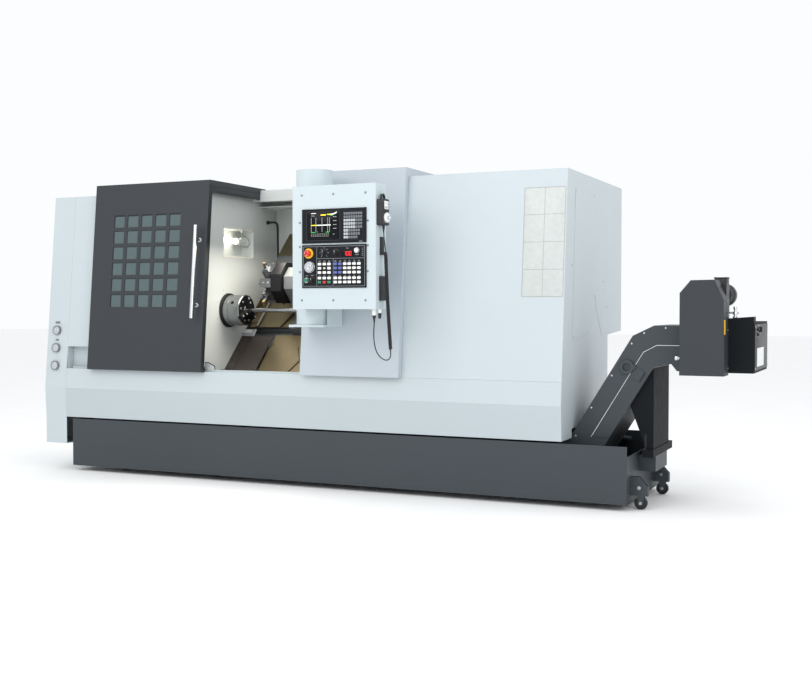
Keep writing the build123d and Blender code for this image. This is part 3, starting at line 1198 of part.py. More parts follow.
def build_parts():
    """All pieces by node name, in the modelling frame."""
    parts = {
        "bed_casting": bed_casting(),
        "levelling_feet": levelling_feet(),
        "chip_tray": chip_tray(),
        "front_skirt": front_skirt(),
        "left_end_cover": left_end_cover(),
        "left_front_panel": left_front_panel(),
        "middle_panel": middle_panel(),
        "right_enclosure": right_enclosure(),
        "rear_panel": rear_panel(),
        "electric_cabinet": electric_cabinet(),
        "cabinet_door": cabinet_door(),
        "headstock_wall": headstock_wall(),
        "work_light": work_light(),
        "chip_guard": chip_guard(),
        "fixed_way_covers": fixed_way_covers(),
        "headstock_casting": headstock_casting(),
        "spindle_shaft": spindle_shaft(),
        "chuck_body": chuck_body(),
        "chuck_jaw_1": chuck_jaw(0),
        "chuck_jaw_2": chuck_jaw(1),
        "chuck_jaw_3": chuck_jaw(2),
        "bar_stock": bar_stock(),
        "carriage_saddle": carriage_saddle(),
        "carriage_cover": carriage_cover(),
        "way_cover_stage": way_cover_stage(),
        "turret_base": turret_base(),
        "turret_disc": turret_disc(),
        "tool_holders": tool_holders(),
        "tailstock_body": tailstock_body(),
        "quill": quill(),
        "live_centre": live_centre(),
        "door_panel": door_panel(),
        "door_window": door_window(),
        "door_handle": door_handle(),
        "pressure_gauges": pressure_gauges(),
        "conveyor_housing": conveyor_housing(),
        "conveyor_belt": conveyor_belt(),
        "drive_guard": drive_guard(),
        "gearmotor": gearmotor(),
        "control_box": control_box(),
        "control_switch": control_switch(),
        "support_leg": support_leg(),
        "coolant_pump": coolant_pump(),
        "caster_wheel_front": caster_wheel(CASTER_YS[0]),
        "caster_wheel_rear": caster_wheel(CASTER_YS[1]),
        "pendant_bracket": pendant_bracket(),
        "pendant_box": pendant_box(),
        "screen_unit": screen_unit(),
        "operator_panel": operator_panel(),
        "emergency_stop": push_button(ESTOP_AT, 20, 14, 8),
        "start_button": push_button(START_AT, 11, 6, 4),
        "pulse_dial": pulse_dial(),
        "feed_override_knob": turn_knob(FEED_AT, 14, 18),
        "speed_override_knob": turn_knob(SPEED_AT, 14, 18),
        "mode_selector": turn_knob(MODE_AT, 13, 16),
        "key_switch": key_switch(),
        "handheld_unit": handheld_unit(),
        "handheld_dial": handheld_dial(),
        "handheld_cord": handheld_cord(),
        "handheld_lead": handheld_lead(),
    }
    return parts


def base_centre(parts):
    """Middle of the overall base, without the free cord."""
    boxes = [shape.bounding_box() for name, shape in parts.items() if name not in CORDS]
    x0 = min(b.min.X for b in boxes)
    x1 = max(b.max.X for b in boxes)
    y0 = min(b.min.Y for b in boxes)
    y1 = max(b.max.Y for b in boxes)
    z0 = min(b.min.Z for b in boxes)
    return Vector((x0 + x1) / 2, (y0 + y1) / 2, z0)


def main():
    parts = build_parts()
    centre = base_centre(parts)
    os.makedirs("parts", exist_ok=True)
    for name, shape in parts.items():
        export_step(Pos(-centre.X, -centre.Y, -centre.Z) * shape, f"parts/{name}.step")
    print("nodes", len(parts), "centre", centre)


if __name__ == "__main__":
    main()
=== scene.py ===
"""Looks of a slant-bed turning lathe: finishes, small fittings, printed fields, cord, light and camera.

Everything is drawn in millimetres from the chip tray's left front corner on the floor: x right along
the front, y away from the operator, z up. placed() turns that into the frame's metres.
"""
import math

import bmesh
import bpy
import numpy as np
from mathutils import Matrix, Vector


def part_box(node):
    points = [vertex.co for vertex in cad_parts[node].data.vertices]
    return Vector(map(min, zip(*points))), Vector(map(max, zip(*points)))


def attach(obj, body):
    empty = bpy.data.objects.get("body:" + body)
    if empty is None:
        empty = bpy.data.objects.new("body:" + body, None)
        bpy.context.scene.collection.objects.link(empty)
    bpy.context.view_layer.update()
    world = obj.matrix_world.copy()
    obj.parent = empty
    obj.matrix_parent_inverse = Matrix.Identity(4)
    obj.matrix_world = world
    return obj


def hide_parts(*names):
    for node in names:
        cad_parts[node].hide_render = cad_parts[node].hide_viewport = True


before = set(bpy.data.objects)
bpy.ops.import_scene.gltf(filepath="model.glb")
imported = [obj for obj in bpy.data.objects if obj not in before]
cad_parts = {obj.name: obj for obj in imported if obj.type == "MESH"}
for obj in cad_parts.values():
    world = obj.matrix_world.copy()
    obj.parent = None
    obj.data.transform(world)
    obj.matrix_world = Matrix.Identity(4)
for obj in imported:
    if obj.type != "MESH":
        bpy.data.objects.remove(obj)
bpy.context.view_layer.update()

ORIGIN = np.array(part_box("chip_tray")[0])
MM = 0.001


def placed(points):
    """Drawing millimetres to metres in the frame."""
    return np.asarray(points, float) * MM + ORIGIN


class Box:
    """A node's box in drawing millimetres: its lowest corner, its highest corner and its middle."""

    def __init__(self, node):
        low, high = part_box(node)
        self.low = (np.array(low) - ORIGIN) / MM
        self.high = (np.array(high) - ORIGIN) / MM
        self.middle = (self.low + self.high) / 2


# The enclosure's leaning front, which starts at the skirt's fold
RIGHT = Box("right_enclosure")
FOLD_Y = Box("front_skirt").low[1]
FOLD_Z = 574.0
SILL_Z = 710.0
FRONT_TOP_Y = 113.0
LEAN = math.atan2(FRONT_TOP_Y - FOLD_Y, RIGHT.high[2] - FOLD_Z)
PROUD = 45.0                # door and middle panel stand this far in front of the other panels

# The slanted bed's direction passes through the spindle's axis
CHUCK = Box("chuck_body")
SPINDLE_Y, SPINDLE_Z = CHUCK.middle[1:]
SLANT = math.radians(45)
WALL_X = Box("headstock_wall").high[0]      # chamber side of the headstock wall


class Face:
    """A flat working face: origin, and unit vectors to its right, up it and out of it."""

    def __init__(self, origin, right, up):
        self.origin = np.array(origin, float)
        self.right = np.array(right, float)
        self.up = np.array(up, float)
        self.out = np.cross(self.right, self.up)

    def at(self, a, b, c=0.0):
        """The points a to the right, b up and c out from the origin."""
        a, b, c = np.broadcast_arrays(a, b, c)
        return (self.origin + a[..., None] * self.right + b[..., None] * self.up
                + c[..., None] * self.out)

    def turned(self, a, b, angle):
        """The same face about the point (a, b), turned left by the angle."""
        c, s = math.cos(angle), math.sin(angle)
        return Face(self.at(a, b), c * self.right + s * self.up, c * self.up - s * self.right)


def up(rise):
    """Length up the leaning front that rises by this much."""
    return rise / math.cos(LEAN)


def front_face(z, proud=0.0):
    """The leaning front at height z: x right, up the slope, out towards the operator."""
    y = FOLD_Y + (z - FOLD_Z) * math.tan(LEAN) - proud / math.cos(LEAN)
    return Face((0, y, z), (1, 0, 0), (0, math.sin(LEAN), math.cos(LEAN)))


def upright_face(y, x=0.0, z=0.0):
    """A vertical face towards the operator."""
    return Face((x, y, z), (1, 0, 0), (0, 0, 1))


def rear_face(y, x=0.0, z=0.0):
    """A vertical face away from the operator: its right is -x."""
    return Face((x, y, z), (-1, 0, 0), (0, 0, 1))


def right_face(x, y=0.0, z=0.0):
    """A vertical face towards +x."""
    return Face((x, y, z), (0, 1, 0), (0, 0, 1))


def left_face(x, y=0.0, z=0.0):
    """A vertical face towards -x: its right is -y."""
    return Face((x, y, z), (0, -1, 0), (0, 0, 1))


def level_face(z, x=0.0, y=0.0):
    """A level face that looks up."""
    return Face((x, y, z), (1, 0, 0), (0, 1, 0))


def low_face(x, y, z):
    """A level face that looks down, for what hangs below a point."""
    return Face((x, y, z), (0, 1, 0), (1, 0, 0))


def slope_face(n):
    """The slanted bed's direction: x right, s up the slope, n square to it, from the spindle's axis."""
    origin = (0, SPINDLE_Y - n * math.sin(SLANT), SPINDLE_Z + n * math.cos(SLANT))
    return Face(origin, (1, 0, 0), (0, math.cos(SLANT), math.sin(SLANT)))


# Shapes: each is a grid of points, a function of two parameters
def rounded_outline(w, h, r, n=5):
    """Rectangle w by h about 0 with quarter circles of radius r: angle t runs round each corner."""
    r = max(min(r, w / 2, h / 2), 1e-4)
    t = np.linspace(0, math.pi / 2, n) + np.arange(4)[:, None] * math.pi / 2
    sides = np.array([(1, 1), (-1, 1), (-1, -1), (1, -1)]) * (w / 2 - r, h / 2 - r)
    loop = (np.stack([np.cos(t), np.sin(t)], -1) * r + sides[:, None, :]).reshape(-1, 2)
    return np.vstack([loop, loop[:1]])


def slab(face, a, b, w, h, low, high, corner=1.0, edge=0.5, steps=3):
    """Plate w by h at (a, b) from depth low to high: the outline shrinks by edge(1 - cos t) while it
    rises edge sin t, and both ends close on the middle."""
    t = np.linspace(0, math.pi / 2, steps)
    inset = np.concatenate([[0.0], edge * (1 - np.cos(t))])
    depth = np.concatenate([[low], high - edge + edge * np.sin(t)])
    loops = np.array([rounded_outline(w - 2 * i, h - 2 * i, corner - i * 0.6) for i in inset])
    loops = np.concatenate([loops[:1] * 0, loops, loops[:1] * 0])
    depth = np.concatenate([[low], depth, [high]])
    return face.at(loops[..., 0] + a, loops[..., 1] + b, depth[:, None])


def mark(face, left, right, bottom, top, low, high):
    """Thin printed field between two columns and two rows."""
    return slab(face, (left + right) / 2, (bottom + top) / 2, right - left, top - bottom, low, high,
                0.4, (high - low) * 0.3, 2)


def flat_plate(face, outline, low, high):
    """Flat plate with the given convex outline: rings at both depths, closed on the middle."""
    p = np.array(outline + outline[:1])
    rows = np.array([p * 0 + p[:-1].mean(0), p, p, p * 0 + p[:-1].mean(0)])
    depth = np.array([low, low, high, high])[:, None]
    return face.at(rows[..., 0], rows[..., 1], depth)


def turned(face, a, b, profile, n=32):
    """Surface of revolution about the face's outward line through (a, b): profile gives (depth, radius),
    the angle runs once round. With n = 6 it is a hexagon."""
    t = np.linspace(0, 2 * math.pi, n + 1)
    profile = np.array(profile, float)
    radius = profile[:, 1:]
    return face.at(a + radius * np.cos(t), b + radius * np.sin(t), profile[:, :1] + 0 * t)


def disc(face, a, b, radius, low, high, edge=0.6, n=32):
    """Round plate with a softened rim."""
    profile = [(low, 0), (low, radius), (high - edge, radius), (high, radius - edge), (high, 0)]
    return turned(face, a, b, profile, n)


def ring(face, a, b, inner, outer, low, high, edge=0.6, n=32):
    """Flat ring whose section is a rectangle with two cut corners."""
    section = [(low, inner), (low, outer), (high - edge, outer), (high, outer - edge), (high, inner + edge),
               (high - edge, inner), (low, inner)]
    return turned(face, a, b, section, n)


def sector(face, a, b, inner, outer, start, end, clear, low, high, n=14):
    """Part of a flat ring: at each radius the arc stops clear of the two edges by the same width."""
    radius = np.linspace(inner, outer, 8)[:, None]
    share = np.linspace(0, 1, n)
    gap = np.arcsin(clear / radius)
    angle = (start + gap) * (1 - share) + (end - gap) * share
    top = face.at(a + radius * np.cos(angle), b + radius * np.sin(angle), high)
    bottom = face.at(a + radius * np.cos(angle), b + radius * np.sin(angle), low)
    sheets = np.array([bottom, top])
    return [top, bottom, sheets[:, 0], sheets[:, -1], sheets[:, :, 0], sheets[:, :, -1]]


def strip(face, points, width, low, high, closed=False):
    """Flat bar carried along a path on the face: each side stands half the width off along the mitre."""
    p = np.asarray(points, float)
    if closed:
        before, after = np.roll(p, 1, 0), np.roll(p, -1, 0)
    else:
        before = np.vstack([2 * p[0] - p[1], p[:-1]])
        after = np.vstack([p[1:], 2 * p[-1] - p[-2]])
    d0, d1 = p - before, after - p
    d0 /= np.linalg.norm(d0, axis=1)[:, None]
    d1 /= np.linalg.norm(d1, axis=1)[:, None]
    n0, n1 = np.stack([-d0[:, 1], d0[:, 0]], -1), np.stack([-d1[:, 1], d1[:, 0]], -1)
    mitre = (n0 + n1) / (1 + (n0 * n1).sum(1))[:, None] * width / 2
    side = np.array([1, 1, -1, -1, 1])[:, None]
    depth = np.array([low, high, high, low, low])
    rows = p[:, None, :] + mitre[:, None, :] * side
    if closed:
        rows = np.concatenate([rows, rows[:1]])
        return face.at(rows[..., 0], rows[..., 1], depth)
    ends = np.repeat(p[[0, -1], None, :], 5, axis=1)
    rows = np.concatenate([ends[:1], rows, ends[1:]])
    end_depth = np.full(5, (low + high) / 2)
    depth = np.vstack([end_depth, np.repeat(depth[None], len(p), 0), end_depth])
    return face.at(rows[..., 0], rows[..., 1], depth)


def ticks(face, a, b, inner, outer, degrees, width, low, high):
    """Radial marks on a dial, at angles from its top."""
    return [strip(face, [(a + inner * math.sin(t), b + inner * math.cos(t)),
                         (a + outer * math.sin(t), b + outer * math.cos(t))], width, low, high)
            for t in np.radians(degrees)]


def digits(face, text, a, b, h, low, high):
    """Seven-segment figures of height h, the first at (a, b): each lit stroke is a short bar."""
    w = h * 0.5
    strokes = {"top": ((0, h), (w, h)), "middle": ((0, h / 2), (w, h / 2)), "foot": ((0, 0), (w, 0)),
               "upper_left": ((0, h / 2), (0, h)), "upper_right": ((w, h / 2), (w, h)),
               "lower_left": ((0, 0), (0, h / 2)), "lower_right": ((w, 0), (w, h / 2))}
    lit = {"0": [key for key in strokes if key != "middle"], "1": ("upper_right", "lower_right")}
    return [strip(face, np.array(strokes[key]) + (a + i * h * 0.82, b), h * 0.13, low, high)
            for i, figure in enumerate(text) for key in lit[figure]]


def screw(face, a, b, r, low=0.0, socket=0.45):
    """Button-head screw: the head falls off as a quarter ellipse, with a hexagon socket in it."""
    t = np.linspace(0, math.pi / 2, 5)
    height = 0.55 * r
    crown = [(low + height * math.sin(k), r * (socket + (1 - socket) * math.cos(k))) for k in t]
    floor = low + height * 0.35
    return turned(face, a, b, [(low, 0), (low, r)] + crown + [(floor, r * socket * 0.95), (floor, 0)], 18)


def hex_bolt(face, a, b, across, low=0.0):
    """Hexagon head on a washer."""
    return [disc(face, a, b, across * 0.72, low, low + 2, 0.4, 24),
            disc(face, a, b, across / math.sqrt(3), low + 1.5, low + 2 + across * 0.38, 0.8, 6)]


def carried(path, radius, across, n=12):
    """Round profile carried along a path: each ring stands square to the path, set out from a direction
    that the path never takes."""
    path = np.asarray(path, float)
    tangent = np.gradient(path, axis=0)
    tangent /= np.linalg.norm(tangent, axis=1)[:, None]
    side = np.cross(tangent, across)
    side /= np.linalg.norm(side, axis=1)[:, None]
    other = np.cross(tangent, side)
    t = np.linspace(0, 2 * math.pi, n + 1)[:, None]
    rings = path[:, None, :] + radius * (np.cos(t) * side[:, None, :] + np.sin(t) * other[:, None, :])
    caps = np.repeat(path[[0, -1], None, :], n + 1, axis=1)
    return np.concatenate([caps[:1], rings, caps[1:]])


def louvre(face, a, b, w, h, rise):
    """Pressed vent: the sheet swells by rise sin(pi u)^0.3 across, grows from the top to its lower lip
    and turns back to the sheet."""
    u = np.linspace(0, 1, 15)
    height = np.array([1.0, 0.75, 0.5, 0.25, 0.0, 0.0, 1.0])[:, None] * h
    swell = np.array([0.0, 0.3, 0.58, 0.82, 1.0, 0.0, 0.0])[:, None] * rise
    return face.at(a + (u - 0.5) * w + 0 * height, b + height + 0 * u, swell * np.sin(math.pi * u) ** 0.3)


def piece(name, body, parts, replaces=(), smooth=40):
    """One object from grids of points, each given with its finish: neighbours on a grid make the faces."""
    vertices, quads, kinds, start = [], [], [], 0
    finishes = []
    for grids, finish in parts:
        if finish not in finishes:
            finishes.append(finish)
        for grid in grids:
            nu, nv = grid.shape[:2]
            first = np.arange(nu - 1)[:, None] * nv + np.arange(nv - 1) + start
            quads.append(np.stack([first, first + nv, first + nv + 1, first + 1], -1).reshape(-1, 4))
            kinds.append(np.full((nu - 1) * (nv - 1), finishes.index(finish)))
            vertices.append(grid.reshape(-1, 3))
            start += nu * nv
    mesh = bpy.data.meshes.new(name)
    mesh.from_pydata(placed(np.concatenate(vertices)), [], np.concatenate(quads))
    mesh.polygons.foreach_set("material_index", np.concatenate(kinds))
    for finish in finishes:
        mesh.materials.append(finish)
    closed = bmesh.new()
    closed.from_mesh(mesh)
    bmesh.ops.remove_doubles(closed, verts=closed.verts, dist=1e-6)
    bmesh.ops.dissolve_degenerate(closed, edges=closed.edges, dist=1e-7)
    bmesh.ops.recalc_face_normals(closed, faces=closed.faces)
    closed.to_mesh(mesh)
    closed.free()
    mesh.shade_smooth()
    mesh.set_sharp_from_angle(angle=math.radians(smooth))
    thing = bpy.data.objects.new(name, mesh)
    bpy.context.scene.collection.objects.link(thing)
    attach(thing, body)
    if replaces:
        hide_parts(*replaces)
    return thing


# Finishes
def srgb(r, g, b):
    """Linear colour of an 8-bit one."""
    c = np.array([r, g, b]) / 255
    return tuple(np.where(c <= 0.04045, c / 12.92, ((c + 0.055) / 1.055) ** 2.4)) + (1.0,)


def scaled(colour, k):
    """The colour made k times as light."""
    return tuple(min(c * k, 1.0) for c in colour[:3]) + (1.0,)


class Finish:
    """A material whose patterns read Object coordinates."""

    def __init__(self, name):
        self.material = bpy.data.materials.new(name)
        self.material.use_nodes = True
        self.tree = self.material.node_tree
        self.shader = self.tree.nodes["Principled BSDF"]
        self.coords = self.add("ShaderNodeTexCoord").outputs["Object"]

    def add(self, kind, inputs=None, **settings):
        """A node with its settings, and its inputs given as numbers or as other nodes' outputs."""
        node = self.tree.nodes.new(kind)
        for key, value in settings.items():
            setattr(node, key, value)
        for key, value in (inputs or {}).items():
            self.fill(node.inputs[key], value)
        return node

    def fill(self, socket, value):
        """Sets a socket to a number or links it to an output."""
        if isinstance(value, bpy.types.NodeSocket):
            self.tree.links.new(value, socket)
        else:
            socket.default_value = value

    def noise(self, scale, detail=2.0, coords=None):
        """Noise of so many grains a metre."""
        inputs = {"Vector": coords or self.coords, "Scale": scale, "Detail": detail}
        return self.add("ShaderNodeTexNoise", inputs).outputs["Fac"]

    def between(self, factor, dark, light):
        """Colour that runs from dark to light with the factor."""
        mix = self.add("ShaderNodeMix", {"Factor": factor}, data_type="RGBA")
        for key, value in (("A", dark), ("B", light)):
            self.fill([s for s in mix.inputs if s.name == key and s.type == "RGBA"][0], value)
        return [s for s in mix.outputs if s.type == "RGBA"][0]

    def colour(self, factor, dark, light):
        """Base colour that runs from dark to light with the factor."""
        self.fill(self.shader.inputs["Base Color"], self.between(factor, dark, light))

    def roughness(self, factor, low, high):
        """Roughness that runs from low to high with the factor."""
        spread = self.add("ShaderNodeMapRange", {"Value": factor, "To Min": low, "To Max": high})
        self.fill(self.shader.inputs["Roughness"], spread.outputs[0])

    def surface(self, height, strength, distance, edge):
        """Relief in the height, over edges rounded to the radius edge."""
        rounded = self.add("ShaderNodeBevel", {"Radius": edge}, samples=4).outputs[0]
        inputs = {"Height": height, "Strength": strength, "Distance": distance, "Normal": rounded}
        self.fill(self.shader.inputs["Normal"], self.add("ShaderNodeBump", inputs).outputs[0])

    def put(self, **values):
        """Fixed values of the shader, with _ for a space in their names."""
        for key, value in values.items():
            self.shader.inputs[key.replace("_", " ")].default_value = value


def powder_coat(name, colour, rough=0.42, grain=650.0, relief=0.12, cloud=0.03, band=None, shine=0.5):
    """Powder coat: slow clouds in the colour, orange peel in the relief, softly rounded edges. band is
    (height in the frame, colour below it), a painted shade below that height."""
    finish = Finish(name)
    clouds = finish.noise(2.3, 4.0)
    dark, light = scaled(colour, 1 - cloud), scaled(colour, 1 + cloud)
    if band:
        height = finish.add("ShaderNodeSeparateXYZ", {"Vector": finish.coords}).outputs["Z"]
        below = finish.add("ShaderNodeMath", {0: height, 1: band[0]}, operation="LESS_THAN").outputs[0]
        dark = finish.between(below, dark, scaled(band[1], 1 - cloud))
        light = finish.between(below, colour, band[1])
    finish.colour(clouds, dark, light)
    finish.surface(finish.noise(grain), relief, 0.0006, 0.002)
    finish.roughness(finish.noise(9.0, 5.0), rough - 0.07, rough + 0.08)
    finish.put(Specular_IOR_Level=shine)
    return finish.material


def worked_metal(name, colour, rough=0.3, along=(1, 1, 1), grain=90.0, relief=0.15, metallic=1.0,
                 spread=0.25):
    """Metal with marks drawn out along one direction, in the colour, the gloss and the relief."""
    finish = Finish(name)
    drawn_out = finish.add("ShaderNodeMapping", {"Vector": finish.coords, "Scale": along}).outputs[0]
    marks = finish.noise(grain, 6.0, drawn_out)
    finish.colour(finish.noise(6.0, 5.0), scaled(colour, 1 - spread), scaled(colour, 1 + spread / 2))
    finish.roughness(marks, rough - 0.12, rough + 0.16)
    finish.surface(marks, relief, 0.0003, 0.001)
    finish.put(Metallic=metallic)
    return finish.material


def turned_metal(name, colour, y, z, rough=0.22, pitch=900.0, relief=0.25):
    """Steel off the lathe: fine rings about the line (y, z) along x, from the distance to that line."""
    finish = Finish(name)
    centre = placed((0, y, z))
    from_axis = finish.add("ShaderNodeVectorMath", {0: finish.coords, 1: (0, centre[1], centre[2])},
                           operation="SUBTRACT").outputs[0]
    flat = finish.add("ShaderNodeVectorMath", {0: from_axis, 1: (0, 1, 1)}, operation="MULTIPLY").outputs[0]
    radius = finish.add("ShaderNodeVectorMath", {0: flat}, operation="LENGTH").outputs["Value"]
    along = finish.add("ShaderNodeSeparateXYZ", {"Vector": finish.coords}).outputs["X"]
    ringed = finish.add("ShaderNodeCombineXYZ", {"X": radius, "Y": along}).outputs[0]
    rings = finish.noise(pitch, 3.0, ringed)
    finish.colour(finish.noise(18.0, 4.0), scaled(colour, 0.75), scaled(colour, 1.1))
    finish.roughness(rings, rough - 0.08, rough + 0.14)
    finish.surface(rings, relief, 0.0002, 0.0012)
    finish.put(Metallic=1.0)
    return finish.material


def moulded(name, colour, rough=0.45, grain=1400.0, relief=0.15, coat=0.0, shine=0.5):
    """Moulded plastic or rubber: a fine even texture and slight wear in the gloss."""
    finish = Finish(name)
    wear = finish.noise(40.0, 4.0)
    finish.colour(wear, scaled(colour, 0.9), scaled(colour, 1.1))
    finish.roughness(wear, rough - 0.06, rough + 0.08)
    finish.surface(finish.noise(grain), relief, 0.0002, 0.0006)
    finish.put(Coat_Weight=coat, Specular_IOR_Level=shine)
    return finish.material


def glowing(name, colour, strength, spots=60.0):
    """Lit surface whose brightness varies a little."""
    finish = Finish(name)
    shade = finish.between(finish.noise(spots), scaled(colour, 0.85), colour)
    finish.fill(finish.shader.inputs["Emission Color"], shade)
    finish.fill(finish.shader.inputs["Base Color"], shade)
    finish.put(Emission_Strength=strength, Roughness=0.3)
    return finish.material


def tinted_glass(name, colour, rough=0.08, through=0.5):
    """Glass with a faint film on it, which lets part of the light through."""
    finish = Finish(name)
    film = finish.noise(5.0, 6.0)
    finish.colour(film, scaled(colour, 0.92), scaled(colour, 1.06))
    finish.roughness(film, rough - 0.03, rough + 0.06)
    finish.put(Transmission_Weight=through, IOR=1.5)
    return finish.material


WHITE = srgb(187, 197, 201)
BELT_SHADE = srgb(178, 188, 192)      # the skirt below its fold: painted shade where it leans in and faces slightly down

white_paint = powder_coat("white_paint", WHITE)
# the skirt's white paint is darker below the fold as painted shade
belt_shaded_paint = powder_coat("belt_shaded_paint", WHITE, band=(placed((0, 0, FOLD_Z))[2], BELT_SHADE))
# the middle panel takes a darker copy of the white paint: painted shade over it
grey_paint = powder_coat("grey_paint", srgb(178, 187, 194))
pendant_paint = powder_coat("pendant_paint", srgb(192, 204, 208), grain=900.0)
# one dark grey paint in two brightnesses: the door, drive guard and hood seal take a darker copy as painted
# shade, the tray and conveyor a lighter copy as painted light
door_shaded_paint = powder_coat("door_shaded_paint", srgb(40, 45, 50), 0.5, relief=0.3, cloud=0.06)
dark_paint = powder_coat("dark_paint", srgb(50, 57, 62), 0.5, relief=0.3, cloud=0.06)
chamber_paint = powder_coat("chamber_paint", srgb(208, 212, 210), 0.3)
# the control box, support leg and coolant pump take a near-black copy of the dark paint: painted shade on
# parts that stand in shadow
shadowed_dark_paint = powder_coat("shadowed_dark_paint", srgb(22, 25, 28), 0.6, relief=0.3, cloud=0.06, shine=0.1)
cast_paint = powder_coat("cast_paint", srgb(92, 96, 98), 0.55, 260.0, 0.5, 0.12)
black_paint = powder_coat("black_paint", srgb(34, 35, 38), 0.45, relief=0.2)

guard_steel = worked_metal("guard_steel", srgb(78, 72, 68), 0.42, (1, 30, 30), 30.0, metallic=0.5)
cover_steel = worked_metal("cover_steel", srgb(136, 124, 98), 0.34, (25, 1, 1), 40.0, metallic=0.75)
ground_steel = worked_metal("ground_steel", srgb(176, 178, 180), 0.28, (2, 30, 30), 60.0)
bright_steel = worked_metal("bright_steel", srgb(214, 216, 220), 0.22, (4, 4, 4), 200.0, spread=0.1)
tool_steel = worked_metal("tool_steel", srgb(148, 150, 154), 0.3, (6, 6, 6), 60.0)
black_steel = worked_metal("black_steel", srgb(38, 38, 40), 0.36, (6, 6, 6), 60.0, metallic=0.7)
bright_sheet = worked_metal("bright_sheet", srgb(224, 228, 230), 0.3, (3, 3, 3), 60.0, metallic=0.35)
satin_chrome = worked_metal("satin_chrome", srgb(214, 216, 220), 0.2, (1, 1, 12), 300.0, 0.06, spread=0.06)
insert_gold = worked_metal("insert_gold", srgb(206, 168, 84), 0.3, (8, 8, 8), 120.0)
spindle_steel = turned_metal("spindle_steel", srgb(150, 153, 156), SPINDLE_Y, SPINDLE_Z)

black_plastic = moulded("black_plastic", srgb(26, 27, 30), 0.42)
screen_black = moulded("screen_black", srgb(14, 16, 22), 0.16, 500.0, 0.01, shine=0.15)
panel_black = moulded("panel_black", srgb(26, 28, 32), 0.55, 2200.0, 0.2, shine=0.15)
rubber = moulded("rubber", srgb(20, 20, 21), 0.6)
cord_cover = moulded("cord_cover", srgb(22, 22, 24), 0.38, 900.0, 0.2)
white_plastic = moulded("white_plastic", srgb(236, 237, 234), 0.35)
light_key = moulded("light_key", srgb(186, 190, 194), 0.5)
grey_key = moulded("grey_key", srgb(112, 116, 122), 0.5)
red_plastic = moulded("red_plastic", srgb(205, 26, 20), 0.22, coat=0.4)
green_plastic = moulded("green_plastic", srgb(18, 128, 88), 0.25, coat=0.3)
yellow_plastic = moulded("yellow_plastic", srgb(240, 186, 28), 0.35)
blue_plastic = moulded("blue_plastic", srgb(88, 106, 172), 0.4)
cable_grey = moulded("cable_grey", srgb(150, 150, 148), 0.5)
seam_shade = moulded("seam_shade", srgb(150, 160, 165), 0.6, relief=0.05)
plain_plate = moulded("plain_plate", srgb(192, 196, 194), 0.4, 300.0, 0.05)
plate_edge = moulded("plate_edge", srgb(140, 144, 143), 0.45, 300.0, 0.05)
lamp_rim = moulded("lamp_rim", srgb(236, 234, 222), 0.4, 300.0, 0.05)
line_print = moulded("line_print", srgb(158, 164, 168), 0.5, relief=0.02)
white_print = moulded("white_print", srgb(225, 228, 228), 0.5, relief=0.02)
black_print = moulded("black_print", srgb(30, 30, 32), 0.5, relief=0.02)

pane_glass = tinted_glass("pane_glass", srgb(86, 103, 105), 0.12, 0.2)
lamp_glow = glowing("lamp_glow", (1.0, 0.95, 0.82, 1.0), 7.0)
display_grey = glowing("display_grey", srgb(150, 158, 150), 0.75)
display_white = glowing("display_white", srgb(225, 228, 220), 0.9)
display_yellow = glowing("display_yellow", srgb(235, 210, 40), 0.9)
display_green = glowing("display_green", srgb(70, 190, 80), 0.8)
digit_red = glowing("digit_red", srgb(240, 40, 40), 1.0)

FINISHED_NODES = {
    white_paint: ("left_end_cover", "left_front_panel", "right_enclosure", "electric_cabinet",
                  "cabinet_door"),
    belt_shaded_paint: ("front_skirt",),
    chamber_paint: ("headstock_wall", "rear_panel"),
    grey_paint: ("middle_panel",),
    pendant_paint: ("pendant_box", "pendant_bracket"),
    door_shaded_paint: ("door_panel", "drive_guard"),
    dark_paint: ("chip_tray", "conveyor_housing"),
    shadowed_dark_paint: ("control_box", "support_leg", "coolant_pump"),
    black_paint: ("gearmotor",),
    guard_steel: ("chip_guard",),
    cast_paint: ("bed_casting", "headstock_casting", "carriage_saddle", "turret_base", "tailstock_body"),
    cover_steel: ("fixed_way_covers", "carriage_cover", "way_cover_stage"),
    ground_steel: ("levelling_feet", "conveyor_belt"),
    tool_steel: ("tool_holders",),
    black_steel: ("chuck_jaw_1", "chuck_jaw_2", "chuck_jaw_3", "turret_disc"),
    spindle_steel: ("spindle_shaft", "chuck_body", "bar_stock", "quill", "live_centre"),
    satin_chrome: ("door_handle", "pulse_dial", "pressure_gauges"),
    black_plastic: ("feed_override_knob", "speed_override_knob", "mode_selector", "handheld_unit",
                    "control_switch"),
    panel_black: ("screen_unit", "operator_panel"),
    white_plastic: ("handheld_dial", "key_switch"),
    red_plastic: ("emergency_stop",),
    green_plastic: ("start_button",),
    pane_glass: ("door_window",),
    lamp_glow: ("work_light",),
    rubber: ("caster_wheel_front", "caster_wheel_rear"),
}


def dress_nodes():
    """Gives each solid its finish."""
    for finish, names in FINISHED_NODES.items():
        for name in names:
            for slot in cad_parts[name].material_slots:
                slot.link = "OBJECT"
                slot.material = finish


